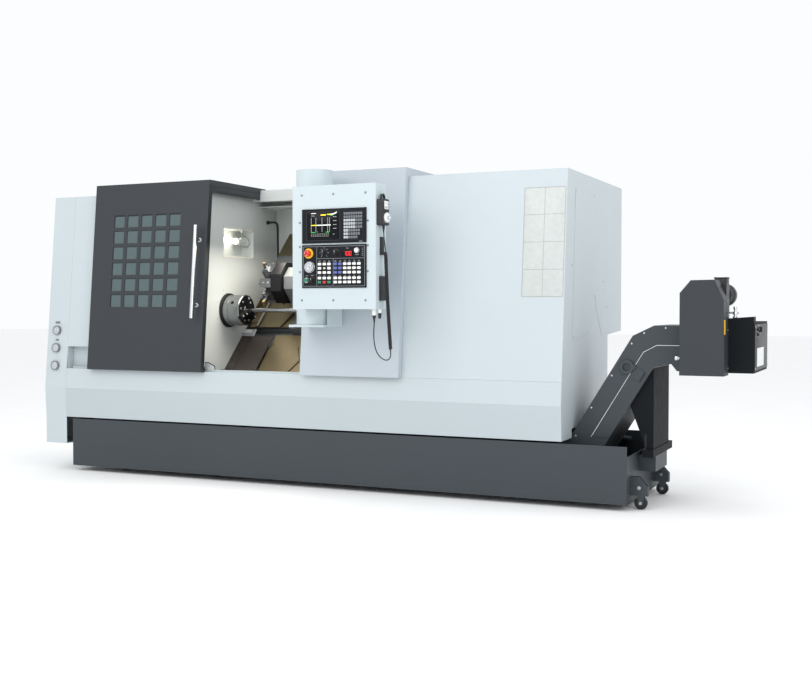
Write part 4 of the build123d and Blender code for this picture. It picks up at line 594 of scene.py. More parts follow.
# The handheld unit's cord: points in metres from the tray's corner
TOP_LEAD = ((2.578, -0.349, 1.589), (2.578, -0.349, 1.550), (2.587, -0.352, 1.502),
            (2.5909, -0.3535, 1.4599), (2.592, -0.352, 1.452))
COIL_PATH = ((2.592, -0.352, 1.452), (2.595, -0.348, 1.3302), (2.600, -0.345, 1.190),
             (2.608, -0.342, 1.0402), (2.618, -0.340, 0.880))
LOW_LEAD = ((2.618, -0.340, 0.880), (2.620, -0.3396, 0.848), (2.598, -0.341, 0.829), (2.570, -0.343, 0.836),
            (2.543, -0.345, 0.858), (2.525, -0.347, 0.892), (2.516, -0.349, 0.938), (2.514, -0.350, 0.990),
            (2.518, -0.350, 1.034), (2.518, -0.350, 1.074))
CORD_DIAMETER = 0.0064
COIL_RADIUS = 0.0081        # of the control points; the smooth line runs a thirtieth nearer
COIL_PITCH = 0.0069
TURN_POINTS = 14
LEAD_STEP = 0.012
FIRST_PITCH, PITCH_EASE = 0.028, 0.0105     # an end turn takes the first less the second


def cord_curve(name, points, diameter=0.0):
    """Curve of one open spline with these control points, in metres from the tray's corner."""
    curve = bpy.data.curves.new(name, "CURVE")
    curve.dimensions = "3D"
    spline = curve.splines.new("NURBS")
    spline.points.add(len(points) - 1)
    rows = np.hstack([np.array(points) + ORIGIN, np.ones((len(points), 1))])
    spline.points.foreach_set("co", rows.ravel())
    spline.order_u = 3
    spline.use_endpoint_u = True
    curve.resolution_u = 3
    curve.bevel_depth = diameter / 2
    curve.bevel_resolution = 4
    curve.use_fill_caps = True
    thing = bpy.data.objects.new(name, curve)
    bpy.context.scene.collection.objects.link(thing)
    return thing


def line_of(route):
    """Points along a spline's own line in metres from the tray's corner, and their distances along it."""
    guide = cord_curve("guide", route)
    guide.data.resolution_u = 24
    mesh = bpy.data.meshes.new_from_object(guide)
    points = np.empty(len(mesh.vertices) * 3)
    mesh.vertices.foreach_get("co", points)
    points = points.reshape(-1, 3) - ORIGIN
    bpy.data.objects.remove(guide)
    along = np.concatenate([[0], np.cumsum(np.linalg.norm(np.diff(points, axis=0), axis=1))])
    return points, along


def points_at(s, line, along):
    """The line's points at the distances s along it."""
    return np.hstack([np.interp(s, along, line[:, i]) for i in range(3)])


def curve_length(thing):
    """Length of a curve's own line, in metres."""
    points = np.array([p.co[:3] for p in thing.data.splines[0].points]) - ORIGIN
    return float(line_of(points)[1][-1])


def curly_points():
    """Helix about the coil's line: over the first and last turn the radius grows as 3q^2 - 2q^3 while the
    pitch eases from a long one, so that the wire comes off the line in a gentle bend."""
    line, along = line_of(COIL_PATH)
    end = along[-1]
    ease = FIRST_PITCH - PITCH_EASE
    turns = round((end - 2 * ease) / COIL_PITCH)
    w = np.arange((turns + 2) * TURN_POINTS + 1) / TURN_POINTS
    near_end = np.minimum(w, turns + 2 - w)
    eased = FIRST_PITCH * near_end - PITCH_EASE * near_end ** 2
    s = ease + (w - 1) * (end - 2 * ease) / turns
    s = np.where(w < 1, eased, np.where(w > turns + 1, end - eased, s))[:, None]
    d = points_at(s + 0.004, line, along) - points_at(s - 0.004, line, along)
    d /= np.linalg.norm(d, axis=1)[:, None]
    side = np.cross(d, (0.0, 1.0, 0.0))
    side /= np.linalg.norm(side, axis=1)[:, None]
    q = np.minimum(near_end, 1.0)
    lift = (COIL_RADIUS * (3 * q ** 2 - 2 * q ** 3))[:, None]
    t = 2 * math.pi * w[:, None]
    return points_at(s, line, along) + lift * (np.cos(t) * side + np.sin(t) * np.cross(d, side))


def spread_points(route):
    """Points along a route's own line, about a step apart."""
    line, along = line_of(route)
    s = np.linspace(0, along[-1], max(round(along[-1] / LEAD_STEP), 4))[:, None]
    return points_at(s, line, along)


def handheld_cord():
    """The curly cord with both leads, and a tapered relief where each lead leaves its housing."""
    points = np.vstack([spread_points(TOP_LEAD)[:-1], curly_points(), spread_points(LOW_LEAD)[1:]])
    cord = cord_curve("curly_cord", points, CORD_DIAMETER)
    cord.data.materials.append(cord_cover)
    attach(cord, "pendant")
    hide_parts("handheld_cord", "handheld_lead")
    upper, lower = np.array(TOP_LEAD[0]) / MM, np.array(LOW_LEAD[-1]) / MM
    taper = [(-4, 0), (-4, 7.6), (2, 7.6), (3, 6.4), (14, 5.2), (28, 3.7), (29, 3.3), (29, 0)]
    reliefs = [piece(name, "pendant", [([turned(low_face(*at), 0, 0, taper, 20)], rubber)])
               for name, at in (("upper_cord_relief", upper), ("lower_cord_relief", lower))]
    curve_length(cord)


# Small cables that the solids leave out, points in millimetres
HOSE = ((1046, 893, 1752), (1085, 892, 1753), (1112, 891, 1750), (1125, 890, 1735), (1127, 890, 1700),
        (1127, 890, 1600), (1127, 892, 1520), (1127, 900, 1450), (1127, 930, 1405), (1127, 975, 1393),
        (1127, 1012, 1392))
HOSE_DIAMETER = 0.016
REAR_Y = 1019.0             # outside of the rear panel
LAMP_CABLE = ((1014, 588, 1671), (1014, 592, 1655), (1014, 620, 1640), (1014, 668, 1626), (1014, 693, 1590),
              (1014, 670, 1562), (1014, 626, 1556), (1014, 584, 1570), (1014, 572, 1594), (1013, 578, 1612),
              (1010, 590, 1616))
CABLE_DIAMETER = 0.005


def cable(name, route, diameter, finish):
    """A cable that hangs in the work chamber."""
    line = cord_curve(name, np.array(route) * MM, diameter)
    line.data.materials.append(finish)
    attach(line, "machine")
    return line


def coolant_hose():
    """Stiff hose from a flange on the headstock wall to a fitting on the chamber's rear."""
    hose = cable("coolant_hose", HOSE, HOSE_DIAMETER, rubber)
    end_x, end_z = HOSE[-1][0], HOSE[-1][2]
    fitting = turned(upright_face(REAR_Y - 4, end_x, end_z), 0, 0,
                     [(-1, 0), (-1, 16), (6, 16), (7, 11), (22, 10), (24, 7.2), (24, 0)], 20)
    flange = turned(right_face(WALL_X, *HOSE[0][1:]), 0, 0,
                    [(-1, 0), (-1, 15), (5, 15), (6, 10), (20, 9.4), (24, 7), (24, 0)], 20)
    fittings = piece("hose_fittings", "machine", [([fitting, flange], black_steel)])
    curve_length(hose)


def lamp_cable():
    """Cable in a loop from the niche's roof to the lamp's connector."""
    loop = cable("lamp_cable", LAMP_CABLE, CABLE_DIAMETER, cable_grey)
    relief = turned(low_face(1014, 588, 1675), 0, 0,
                    [(-1, 0), (-1, 9), (4, 9), (5, 5), (14, 3.4), (14.5, 2.8), (14.5, 0)], 18)
    connector = slab(right_face(1001), 596, 1618, 26, 18, 0, 13, 2, 1.5, 4)
    ends = piece("lamp_cable_glands", "machine", [([relief, connector], white_plastic)])
    curve_length(loop)


# Left column and door
GAUGE_X = Box("left_end_cover").low[0] + 84
GAUGE_ZS = (728.0, 851.0, 974.0)
GAUGE_R = 26.3
GAUGE_FLOOR = 13.0
NAME_FIELDS = ((-152.0, 1029.0, 42.0, 15.0), (-149.0, 907.0, 32.0, 12.0))      # x, z, width, height


def gauge_dials():
    """Rim, dial, long and short ticks of each gauge, and the small fields beside them."""
    rims, dials, marks = [], [], []
    printed = GAUGE_FLOOR + 0.1
    for z in GAUGE_ZS:
        face = front_face(z)
        rims.append(ring(face, GAUGE_X, 0, GAUGE_R, 32.5, 0, 17.4, 1.2, 40))
        dials.append(disc(face, GAUGE_X, 0, GAUGE_R - 0.1, GAUGE_FLOOR - 0.5, GAUGE_FLOOR + 0.2, 0.1, 40))
        marks += ticks(face, GAUGE_X, 0, 19.5, 24, np.arange(-135, 136, 27), 1.3, printed, 13.5)
        marks += ticks(face, GAUGE_X, 0, 22, 24, np.arange(-121.5, 122, 27), 0.7, printed, 13.45)
        marks.append(mark(face, GAUGE_X - 6, GAUGE_X + 6, -12, -9.5, printed, 13.4))
    parts = [(rims, tool_steel), (dials, light_key), (marks, black_print)]
    piece("gauge_dials", "machine", parts)
    fields = [slab(front_face(z), x, 0, w, h, 0, 0.7, 2, 0.3) for x, z, w, h in NAME_FIELDS]
    piece("gauge_name_fields", "machine", [(fields, grey_key)])


WINDOW = Box("door_window")
WINDOW_MARGIN = 18.0
WINDOW_X0 = WINDOW.low[0] + WINDOW_MARGIN
WINDOW_W = WINDOW.high[0] - WINDOW.low[0] - 2 * WINDOW_MARGIN
WINDOW_Z0 = 1135.0
WINDOW_H = 630.0
PANE_W, PANE_H = 90.0, 88.0
COLUMNS, ROWS = 5, 6
SEAL_W = 1.6
PANE_DEPTH = -2.9
DOOR_FOOT_Z = SILL_Z + 1
DOOR = Box("door_panel")


def window_seals():
    """Rubber round each opening of the window, and black strips along each opening's top and down the first
    column's left: painted shadow where the pane stands back from the sheet.
    """
    face = front_face(DOOR_FOOT_Z, PROUD)
    seals, painted_shadows = [], []
    for i in range(COLUMNS):
        x = WINDOW_X0 + PANE_W / 2 + i * (WINDOW_W - PANE_W) / (COLUMNS - 1)
        for j in range(ROWS):
            v = up(WINDOW_Z0 - DOOR_FOOT_Z) + PANE_H / 2 + j * (up(WINDOW_H) - PANE_H) / (ROWS - 1)
            outline = rounded_outline(PANE_W - SEAL_W, PANE_H - SEAL_W, 4.2, 4)[:-1] + (x, v)
            seals.append(strip(face, outline, SEAL_W, PANE_DEPTH, -0.6, closed=True))
            # painted shadow: a black strip under each opening's top edge, deeper in the top row, and one
            # down the left of the first column
            painted_shadow_h = 9.0 if j == ROWS - 1 else 2.6
            painted_shadows.append(mark(face, x - 43, x + 43, v + 43 - painted_shadow_h, v + 43, PANE_DEPTH, -1.6))
            if i == 0:
                painted_shadows.append(mark(face, x - 44, x - 38, v - 42, v + 43, PANE_DEPTH, -1.5))
    piece("window_seals", "door", [(seals + painted_shadows, rubber)])


HOOD_SEAL = (66.0, 698.0, 1896.0, 1944.0)       # y and z of the seal under the hood
HANDLE_X = Box("door_handle").middle[0]
HANDLE_OFF = 55.0
HANDLE_ENDS = (up(1060 - DOOR_FOOT_Z), up(1668 - DOOR_FOOT_Z))
POST_IN = 90.0              # from an end of the handle to its post


def door_edge():
    """Closing seals on the door's right edge, the handle's roses and end caps, the lower runner's end."""
    face = front_face(DOOR_FOOT_Z, PROUD)
    right = DOOR.high[0]
    height = up(DOOR.high[2] - DOOR_FOOT_Z) - 14
    side = Face(face.at(right, 0), -face.out, face.up)
    seals = [slab(side, 30, height / 2, 13, height - 30, 0, 1.3, 1, 0.4),
             slab(side, 12, height / 2, 5, height - 30, 0, 0.6, 1, 0.3)]
    piece("door_edge_seal", "door", [(seals, rubber)])
    y0, y1, z0, z1 = HOOD_SEAL
    hood = slab(right_face(right - 7), (y0 + y1) / 2, (z0 + z1) / 2, y1 - y0, z1 - z0, 0, 5, 1, 0.6)
    piece("hood_seal", "door", [([hood], door_shaded_paint)])
    low, high = HANDLE_ENDS
    roses = [ring(face, HANDLE_X, v, 8.3, 14, 0, 4, 1, 24) for v in (low + POST_IN, high - POST_IN)]
    cap = [(-0.5, 0), (-0.5, 13.1), (1.5, 13.1), (3, 11), (3, 0)]
    roses += [turned(Face(face.at(HANDLE_X, v, HANDLE_OFF), (1, 0, 0), way * face.out), 0, 0, cap, 28)
              for v, way in ((low, 1), (high, -1))]
    piece("handle_roses", "door", [(roses, satin_chrome)])
    plate = upright_face(38)
    outline = ((right - 20, 728), (right - 20, 771), (right + 8, 771), (right + 55, 749), (right + 58, 727))
    sheet = flat_plate(plate, outline, -3, 0)
    trim = strip(plate, outline[1:], 4.5, -3.4, 1.4)
    piece("runner_end_cover", "door", [([sheet], bright_sheet), ([trim], rubber)])


# Work chamber
CHUCK_FACE_X = CHUCK.high[0]
CHUCK_R = (CHUCK.high[2] - CHUCK.low[2]) / 2
JAW_SLOT = 16.0             # from a slot's middle to the dark sector
KEY_SOCKET_X = CHUCK_FACE_X - 55


def across_spindle(x):
    """Face square to the spindle, with its axis as the origin."""
    return right_face(x, SPINDLE_Y, SPINDLE_Z)


def on_circle(radius, degrees):
    """Points at these angles on a circle about 0, from its right."""
    return [(radius * math.cos(t), radius * math.sin(t)) for t in np.radians(degrees)]


def spindle_marks():
    """Dark sectors between the jaw slots, key sockets on the rim, seal ring behind the chuck."""
    face = across_spindle(CHUCK_FACE_X)
    third = 2 * math.pi / 3
    sectors, bolts, sockets = [], [], []
    for k in range(3):
        start = math.pi / 2 + k * third
        sectors += sector(face, 0, 0, 34, 97, start, start + third, JAW_SLOT, -0.5, 1.2)
        t = math.radians(150 + 120 * k)
        bolts += [screw(face, 72 * math.cos(t + spread), 72 * math.sin(t + spread), 8.5, 1.0, 0.55)
                  for spread in (-0.36, 0.36)]
        t = math.radians(30 + 120 * k)
        out = np.array((0, math.cos(t), math.sin(t)))
        centre = np.array((KEY_SOCKET_X, SPINDLE_Y, SPINDLE_Z)) + (CHUCK_R - 1.5) * out
        rim = Face(centre, (1, 0, 0), np.cross(out, (1, 0, 0)))
        sockets += [ring(rim, 0, 0, 7, 12, 0, 2.2, 0.6, 20), disc(rim, 0, 0, 7, 0, 1.7, 0.2, 20)]
    collar = ring(face, 0, 0, 15.5, 31, -0.5, 3, 1, 40)
    parts = [(sectors + sockets, black_steel), (bolts + [collar], tool_steel)]
    piece("chuck_face_marks", "spindle", parts)
    seal = ring(across_spindle(WALL_X + 6), 0, 0, 88, 116.5, -2, 9, 2, 48)
    piece("spindle_seal", "machine", [([seal], rubber)])


JAW_STEPS = ((20, 80), (32, 51))        # how far the step stands out, radius of its screw


def jaw_screws():
    """A screw on each step of the jaws, and the teeth at their outer end."""
    for k in range(3):
        t = math.radians(90 + 120 * k)
        screws = [screw(across_spindle(CHUCK_FACE_X + out), r * math.cos(t), r * math.sin(t), 7.5, 0, 0.55)
                  for out, r in JAW_STEPS]
        face = across_spindle(CHUCK_FACE_X + JAW_STEPS[0][0]).turned(0, 0, t - math.pi / 2)
        teeth = [mark(face, -12.5, 12.5, 90.5 + i * 1.5, 91.1 + i * 1.5, 0, 0.5) for i in range(5)]
        parts = [(screws, ground_steel), (teeth, tool_steel)]
        piece("jaw_%d_screws" % (k + 1), "jaw_%d" % (k + 1), parts)


COVER_N = -262.0
COVER_X0 = WALL_X + 75
COVER_X1 = WALL_X + 320
COVER_S = (95.0, 385.0)
CHEVRON = 60.0
GUARD_N = -246.0
GUARD_X1 = WALL_X + 250
LOWER_COVERS = ((-334, -88, 60, 0), (-84, 31, 45, 8))       # s0, s1, chevron and drop of each row


def chevron_wiper(n, right, s0, s1, chevron):
    """Rubber strip along a cover's pointed edge, clear of it by 2 mm at the ends and 4 at the tip."""
    path = ((right - chevron - 2, s0 + 2), (right - 4, (s0 + s1) / 2), (right - chevron - 2, s1 - 2))
    return strip(slope_face(n), path, 5, 0, 1.6)


def cover_wipers():
    """Wipers of the fixed way covers and the bright edge of the upper one."""
    wipers = [chevron_wiper(COVER_N, COVER_X1, *COVER_S, CHEVRON)]
    edge = ((COVER_X0 + 4, COVER_S[0] + 1), (COVER_X0 + 4, COVER_S[1] - 1))
    edges = [strip(slope_face(COVER_N), edge, 9.5, 13.5, 15.2)]
    for i in range(3):
        right = GUARD_X1 + 310 * (i + 1) - 20
        wipers += [chevron_wiper(GUARD_N - 22 - i * 4 - drop, right, s0, s1, chevron)
                   for s0, s1, chevron, drop in LOWER_COVERS]
    piece("cover_wipers", "machine", [(wipers, rubber), (edges, bright_steel)])


BRACKET = (WALL_X + 4, -10.0, 92.0, 62.0)       # x, s, width and height


def splash_bracket():
    """Folded splash bracket below the chuck, and the chip guard's screws."""
    x, s, w, h = BRACKET
    base = slope_face(GUARD_N)
    plate = slab(base, x + w / 2, s + h / 2, w, h, -0.5, 3, 1, 0.6)
    upright = Face(base.at(x + w - 3, s), base.up, base.out)
    flange = flat_plate(upright, ((0, 0), (0, 34), (h * 0.45, 34), (h, 10), (h, 0)), -3, 0)
    rear = Face(base.at(x, s + 3), (1, 0, 0), base.out)
    lip = slab(rear, w / 2, 17, w, 34, -3, 0, 0.6, 0.6)
    fixings = [screw(base, x + k, s + h - 12, 5, 3) for k in (14, w - 20)]
    piece("splash_bracket", "machine", [([plate, flange, lip], bright_sheet), (fixings, ground_steel)])
    rows = [screw(base, gx, gs, 5, 0) for gx in (WALL_X + 22, GUARD_X1 - 18)
            for gs in (-320, -230, -140, -50)]
    piece("guard_screws", "machine", [(rows, black_steel)])


LAMP = Box("work_light")
LAMP_CLEAR = 19.2           # inner radius of the lamp's sleeve and collars
NICHE_Y = (323.0, 700.0)
NICHE_Z = (1485.0, 1680.0)


def lamp_housing():
    """Sleeve and end collars of the lamp, and the rim of its niche with the screws."""
    around = Face((LAMP.middle[0], LAMP.low[1] + 232, LAMP.middle[2]), (1, 0, 0), (0, 0, -1))
    sleeve = [(0, LAMP_CLEAR), (0, 23), (3, 24.5), (108, 24.5), (111, 23), (111, LAMP_CLEAR),
              (0, LAMP_CLEAR)]
    tubes = [turned(around, 0, 0, sleeve, 28)]
    for d in (-232.2, 112.4):
        collar = [(d, LAMP_CLEAR), (d, 25), (d + 22, 25), (d + 22, LAMP_CLEAR), (d, LAMP_CLEAR)]
        tubes.append(turned(around, 0, 0, collar, 28))
    piece("lamp_housing", "machine", [(tubes, white_plastic)])
    niche = right_face(WALL_X)
    (y0, y1), (z0, z1) = NICHE_Y, NICHE_Z
    rim = strip(niche, ((y0, z0), (y1, z0), (y1, z1), (y0, z1)), 8, 0, 1.6, closed=True)
    screws = [screw(niche, y, z, 4.5, 1.4) for y in NICHE_Y for z in (z0, 1582, z1)]
    piece("lamp_niche_rim", "machine", [([rim], lamp_rim), (screws, ground_steel)])


TURRET_S = 265.0
TURRET_X0 = CHUCK_FACE_X + 160
FRONT_DEPTH = 80 - TURRET_X0        # of the disc's front, seen from the chuck


def turret_fittings():
    """Clamp screws and inserts of the eight tool stations, and the hub's bolts."""
    centre = slope_face(0).at(0, TURRET_S)
    screws, inserts = [], []
    for i in range(8):
        t = SLANT + math.pi / 2 + i * math.pi / 4
        out = np.array((0, -math.sin(t), math.cos(t)))
        face = Face(centre, (1, 0, 0), np.cross(out, (1, 0, 0)))
        if i % 2 == 0:
            screws += [screw(face, TURRET_X0 - 52, k, 6, 146, 0.55) for k in (-13, 13)]
            side = Face(centre, (1, 0, 0), out)
            inserts += [slab(side, TURRET_X0 - 53, 190, 15, 15, low, low + 3.7, 1.5, 0.8)
                        for low in (9.5, -13.2)]
        else:
            screws += [screw(face, TURRET_X0 - k, 0, 7, 138, 0.55) for k in (22, 58)]
            end = Face(centre, out, np.cross((-1.0, 0, 0), out))
            inserts.append(slab(end, 112, 0, 11, 7, 102 - TURRET_X0, 107 - TURRET_X0, 1, 0.5))
        front = Face(centre, np.cross((1.0, 0, 0), out), out)
        screws += [screw(front, k, r, 5.5, FRONT_DEPTH, 0.5) for k in (-22, 22) for r in (84, 128)]
    hub = Face(centre, (0, -1, 0), (0, 0, 1))
    screws += [screw(hub, a, b, 6, 14 - TURRET_X0, 0.55) for a, b in on_circle(44, range(0, 360, 60))]
    piece("tool_clamp_screws", "turret", [(screws, ground_steel)])
    piece("cutting_inserts", "turret", [(inserts, insert_gold)])


SADDLE = Box("carriage_saddle")
SADDLE_N = -235.0


def slide_fittings():
    """Bolt rows of the saddle, and the wiper and bolts round the quill."""
    heads = [screw(slope_face(SADDLE_N), x, s, 8, 0) for x in (SADDLE.low[0] + 22, SADDLE.high[0] - 22)
             for s in (90, 180, 270, 360, 410)]
    piece("saddle_bolts", "carriage", [(heads, black_steel)])
    nose = left_face(Box("tailstock_body").low[0], SPINDLE_Y, SPINDLE_Z)
    wiper = ring(nose, 0, 0, 39, 58, 0, 6, 1.2, 36)
    bolts = [screw(nose, a, b, 5, 0) for a, b in on_circle(66, range(30, 360, 60))]
    piece("quill_wiper", "tailstock", [([wiper], rubber), (bolts, black_steel)])


# Right enclosure
NOTICE = (3271.0, 3523.0, 1194.0, 1831.0)       # left, right, bottom and top
SIDE_X = RIGHT.high[0] - 6
SIDE_SEAM = ((706.0, 1219.0), (722.0, 1140.0), (871.0, 959.0))
SIDE_SCREWS = ((993.0, 1139.0), (906.0, 1299.0), (191.0, 1381.0))


def right_fields():
    """Bare notice with cell lines on the front, a bent seam and three screws on the side."""
    left, right, bottom, top = NOTICE
    face = front_face(bottom)
    w, h = right - left, up(top - bottom)
    centre = (left + right) / 2
    plate = slab(face, centre, h / 2, w, h, 0, 0.8, 3, 0.3)
    outline = rounded_outline(w - 6, h - 6, 3, 4)[:-1] + (centre, h / 2)
    lines = [strip(face, outline, 2.2, 0.6, 1.2, closed=True)]
    lines += [mark(face, left + 6, right - 6, h * k / 4 - 1, h * k / 4 + 1, 0.6, 1.1) for k in (1, 2, 3)]
    lines.append(mark(face, centre - 1, centre + 1, 6, h - 6, 0.6, 1.15))
    piece("bare_notice_field", "machine", [([plate], plain_plate), (lines, plate_edge)])
    side = right_face(SIDE_X)
    seam = strip(side, SIDE_SEAM, 2.2, -0.5, 0.7)
    screws = [screw(side, y, z, 5, 0) for y, z in SIDE_SCREWS]
    piece("side_seam", "machine", [([seam], seam_shade), (screws, ground_steel)])


# Conveyor
HOUSING_Y0 = 220.0
ELBOW_X, ELBOW_Z = 4002.0, 795.0
SEAM_LINE = ((3640.2, 381.0), (ELBOW_X - 58, ELBOW_Z + 85), (ELBOW_X + 18, ELBOW_Z + 125),
             (ELBOW_X + 168, ELBOW_Z + 125))
EDGE_SCREWS = ((4069.0, 1018.0), (3947.0, 988.0), (3876.0, 928.0), (3761.0, 742.0), (3642.0, 552.0),
               (3548.0, 384.0))
HATCH_SLOT = ((3925, 714), (3953, 763))
DRIVE_GUARD = Box("drive_guard")
TENSION_BOLT = (150.0, 851.0)       # y, z
YELLOW_STRIP = (78.0, 118.0, 986.0, 1067.0)     # y and z
GUARD_BOLT_Y = 205.0
LEANING_BOLTS = ((800, 0.4), (1010, 2.4), (1170, 3.8))      # z, and how far the face stands back there
OILER_XS = (4397.0, 4442.0)
OILER_Y = 262.0
LID_TOP_Z = 1077.0


def conveyor_fittings():
    """The housing's seam, edge screws and hatch slot, the tension bolt, the drive guard's plain strip."""
    seam = strip(upright_face(HOUSING_Y0 - 3), SEAM_LINE, 3.2, -0.4, 1.0)
    heads = [screw(upright_face(HOUSING_Y0), x, z, 6, 0) for x, z in EDGE_SCREWS]
    slot = strip(upright_face(HOUSING_Y0 - 8), HATCH_SLOT, 5, -0.3, 0.9)
    piece("conveyor_seam", "machine", [([seam], bright_steel), (heads, bright_steel), ([slot], rubber)])
    side = left_face(DRIVE_GUARD.low[0])
    y, z = TENSION_BOLT
    profile = [(-1, 0), (-1, 13), (2, 13), (3, 7), (22, 7), (22.5, 13), (37, 13), (39, 10), (39, 0)]
    bolt = [turned(side, -y, z, profile, 24), disc(side, -y, z, 15, 3, 11, 1, 6)]
    piece("tension_bolt", "machine", [(bolt, bright_steel)])
    right = DRIVE_GUARD.high[0]
    yellow = mark(right_face(right - 2.4), *YELLOW_STRIP, -1, 1.4)
    piece("plain_yellow_field", "machine", [([yellow], yellow_plastic)])
    bolts = [screw(right_face(right - back), GUARD_BOLT_Y, z, 5, -0.6) for z, back in LEANING_BOLTS]
    piece("guard_cover_bolts", "machine", [(bolts, ground_steel)])


def chain_oiler():
    """Two stacked fittings on the control box's lid, joined by a cross pipe."""
    lid = level_face(LID_TOP_Z)
    first, second = OILER_XS
    short = [(-4, 0), (-4, 11), (6, 11), (6, 7), (14, 7), (14, 12), (26, 12), (26, 6), (40, 6), (42, 4),
             (42, 0)]
    tall = [(-4, 0), (-4, 13), (8, 13), (8, 8), (18, 8), (18, 14), (34, 14), (34, 7), (48, 7), (48, 10),
            (60, 10), (62, 8), (62, 0)]
    path = [(first - 14, OILER_Y, 1104), (first, OILER_Y, 1104), (second, OILER_Y, 1106),
            (second + 20, OILER_Y, 1106)]
    stacks = [turned(lid, first, OILER_Y, short, 20), turned(lid, second, OILER_Y, tall, 20)]
    piece("chain_oiler", "machine", [(stacks + [carried(path, 5.0, (0, 0, 1.0))], bright_steel)])


CONTROL_BOX = Box("control_box")
BLANK_FIELD = (321.0, 600.0, 804.0, 908.0)      # y and z
PLATE_IN = 13.0
PLATE_Z = (785.0, 1041.0)
KNOB_Y, KNOB_ZS = 290.0, (1015, 985)
SWITCH_Y, SWITCH_Z = 380.0, 1012.0


def control_box_face():
    """Face plate with the blank field, two knobs, and rings and marks round the switch."""
    y0, y1 = CONTROL_BOX.low[1] + PLATE_IN, CONTROL_BOX.high[1] - PLATE_IN
    z0, z1 = PLATE_Z
    face = right_face(CONTROL_BOX.high[0])
    plate = slab(face, (y0 + y1) / 2, (z0 + z1) / 2, y1 - y0, z1 - z0, 0, 1, 3, 0.4)
    field = mark(face, *BLANK_FIELD, 1, 1.7)
    knob = [(1, 0), (1, 11), (4, 11), (5, 8.5), (14, 8), (16, 6), (16, 0)]
    knobs = [turned(face, KNOB_Y, z, knob, 24) for z in KNOB_ZS]
    rings = [ring(face, KNOB_Y, z, 11.5, 14, 1, 2.4, 0.5, 24) for z in KNOB_ZS]
    rings.append(ring(face, SWITCH_Y, SWITCH_Z, 18, 22, 0.9, 2.2, 0.4, 32))
    scale = ticks(face, SWITCH_Y, SWITCH_Z, 24, 28, (-45, 0, 45), 1.6, 1, 1.4)
    screws = [screw(face, y, z, 5.5, 1) for y in (y0 + 12, y1 - 12) for z in (z0 + 12, z1 - 12)]
    parts = [([plate] + knobs, black_plastic), ([field], white_print), (rings + screws, ground_steel),
             (scale, white_print)]
    piece("control_box_face", "machine", parts)


MOTOR_X = 4345.0
MOTOR_Z = 1205.0
MOTOR_END_Y = Box("gearmotor").high[1]
TERMINALS_Y = 410.0


def motor_fittings():
    """Fan grille: rings and spokes on the motor's rear end, and the terminal box."""
    face = rear_face(MOTOR_END_Y)
    rings = [ring(face, -MOTOR_X, MOTOR_Z, r, r + 2.4, 0, 2.4, 0.5, 32) for r in range(14, 55, 10)]
    spokes = ticks(face, -MOTOR_X, MOTOR_Z, 12, 58, np.arange(0, 360, 45), 2.6, 0, 2.8)
    piece("fan_grille", "machine", [(rings + spokes, black_steel)])
    top = level_face(MOTOR_Z + 60)
    case = slab(top, MOTOR_X, TERMINALS_Y, 70, 80, -8, 34, 4, 2)
    lid = slab(top, MOTOR_X, TERMINALS_Y, 76, 86, 34, 40, 4, 1.5)
    screws = [screw(top, MOTOR_X + a, TERMINALS_Y + b, 4, 40) for a in (-31, 31) for b in (-36, 36)]
    piece("terminal_box", "machine", [([case, lid], black_paint), (screws, ground_steel)])


LEG_X1 = ELBOW_X - 4
LEG_FRONT_Y = HOUSING_Y0 + 25
LEG_SLOTS = (((301, 560), (296, 590), (301, 622)), ((405, 560), (410, 585), (405, 605)))
CASTER_X = 3958.0
CASTER_YS = (118.0, 690.0)
CHEEK = 19.3                # from a caster's middle to the outside of its fork
FEET = [(x, 957.5) for x in (200.0, 1140.0, 2083.0, 3340.0)] + [(x, 300.0) for x in (200.0, 620.0)]


def leg_and_casters():
    """Slots in the support leg, axle and fork nuts of the casters, nuts of the levelling feet."""
    side = right_face(LEG_X1)
    slots = [strip(side, path, 9, -0.5, 0.7) for path in LEG_SLOTS]
    slots.append(strip(upright_face(LEG_FRONT_Y), ((LEG_X1 - 45, 333), (LEG_X1 - 45, 408)), 12, -0.5, 0.8))
    piece("leg_slots", "machine", [(slots, rubber)])
    nuts = []
    for y in CASTER_YS:
        for face, way in ((upright_face(y - CHEEK), 1), (rear_face(y + CHEEK), -1)):
            nuts += hex_bolt(face, way * CASTER_X, 36, 13)
            nuts.append(disc(face, way * (CASTER_X - 8), 122, 11, 0, 4, 1, 24))
            nuts.append(disc(face, way * (CASTER_X - 8), 122, 6, 3, 6.5, 1, 20))
    piece("caster_nuts", "machine", [(nuts, ground_steel)])
    feet = [turned(level_face(18), x, y, [(0, 0), (0, 30), (12, 24), (12, 0)], 6) for x, y in FEET]
    piece("foot_nuts", "machine", [(feet, ground_steel)])


# Control pendant
SCREEN = Box("screen_unit")
BOX_X0 = SCREEN.low[0] - 69
BOX_X1 = SCREEN.high[0] + 57
BOX_Y0 = Box("pendant_box").low[1]
BOX_Z0 = SCREEN.low[2] - 383
BOX_Z1 = SCREEN.high[2] + 138
BOX_DEPTH = 138.0
PLATE_Y = BOX_Y0 - 6
LEFT_COLS = (117.0, 149.0, 180.0)
RIGHT_COLS = (221.0, 251.0, 283.0, 312.0, 343.0, 374.0)
UPPER_ROWS = (89.0, 114.0, 138.0)
LOWER_ROWS = (33.0, 57.0)


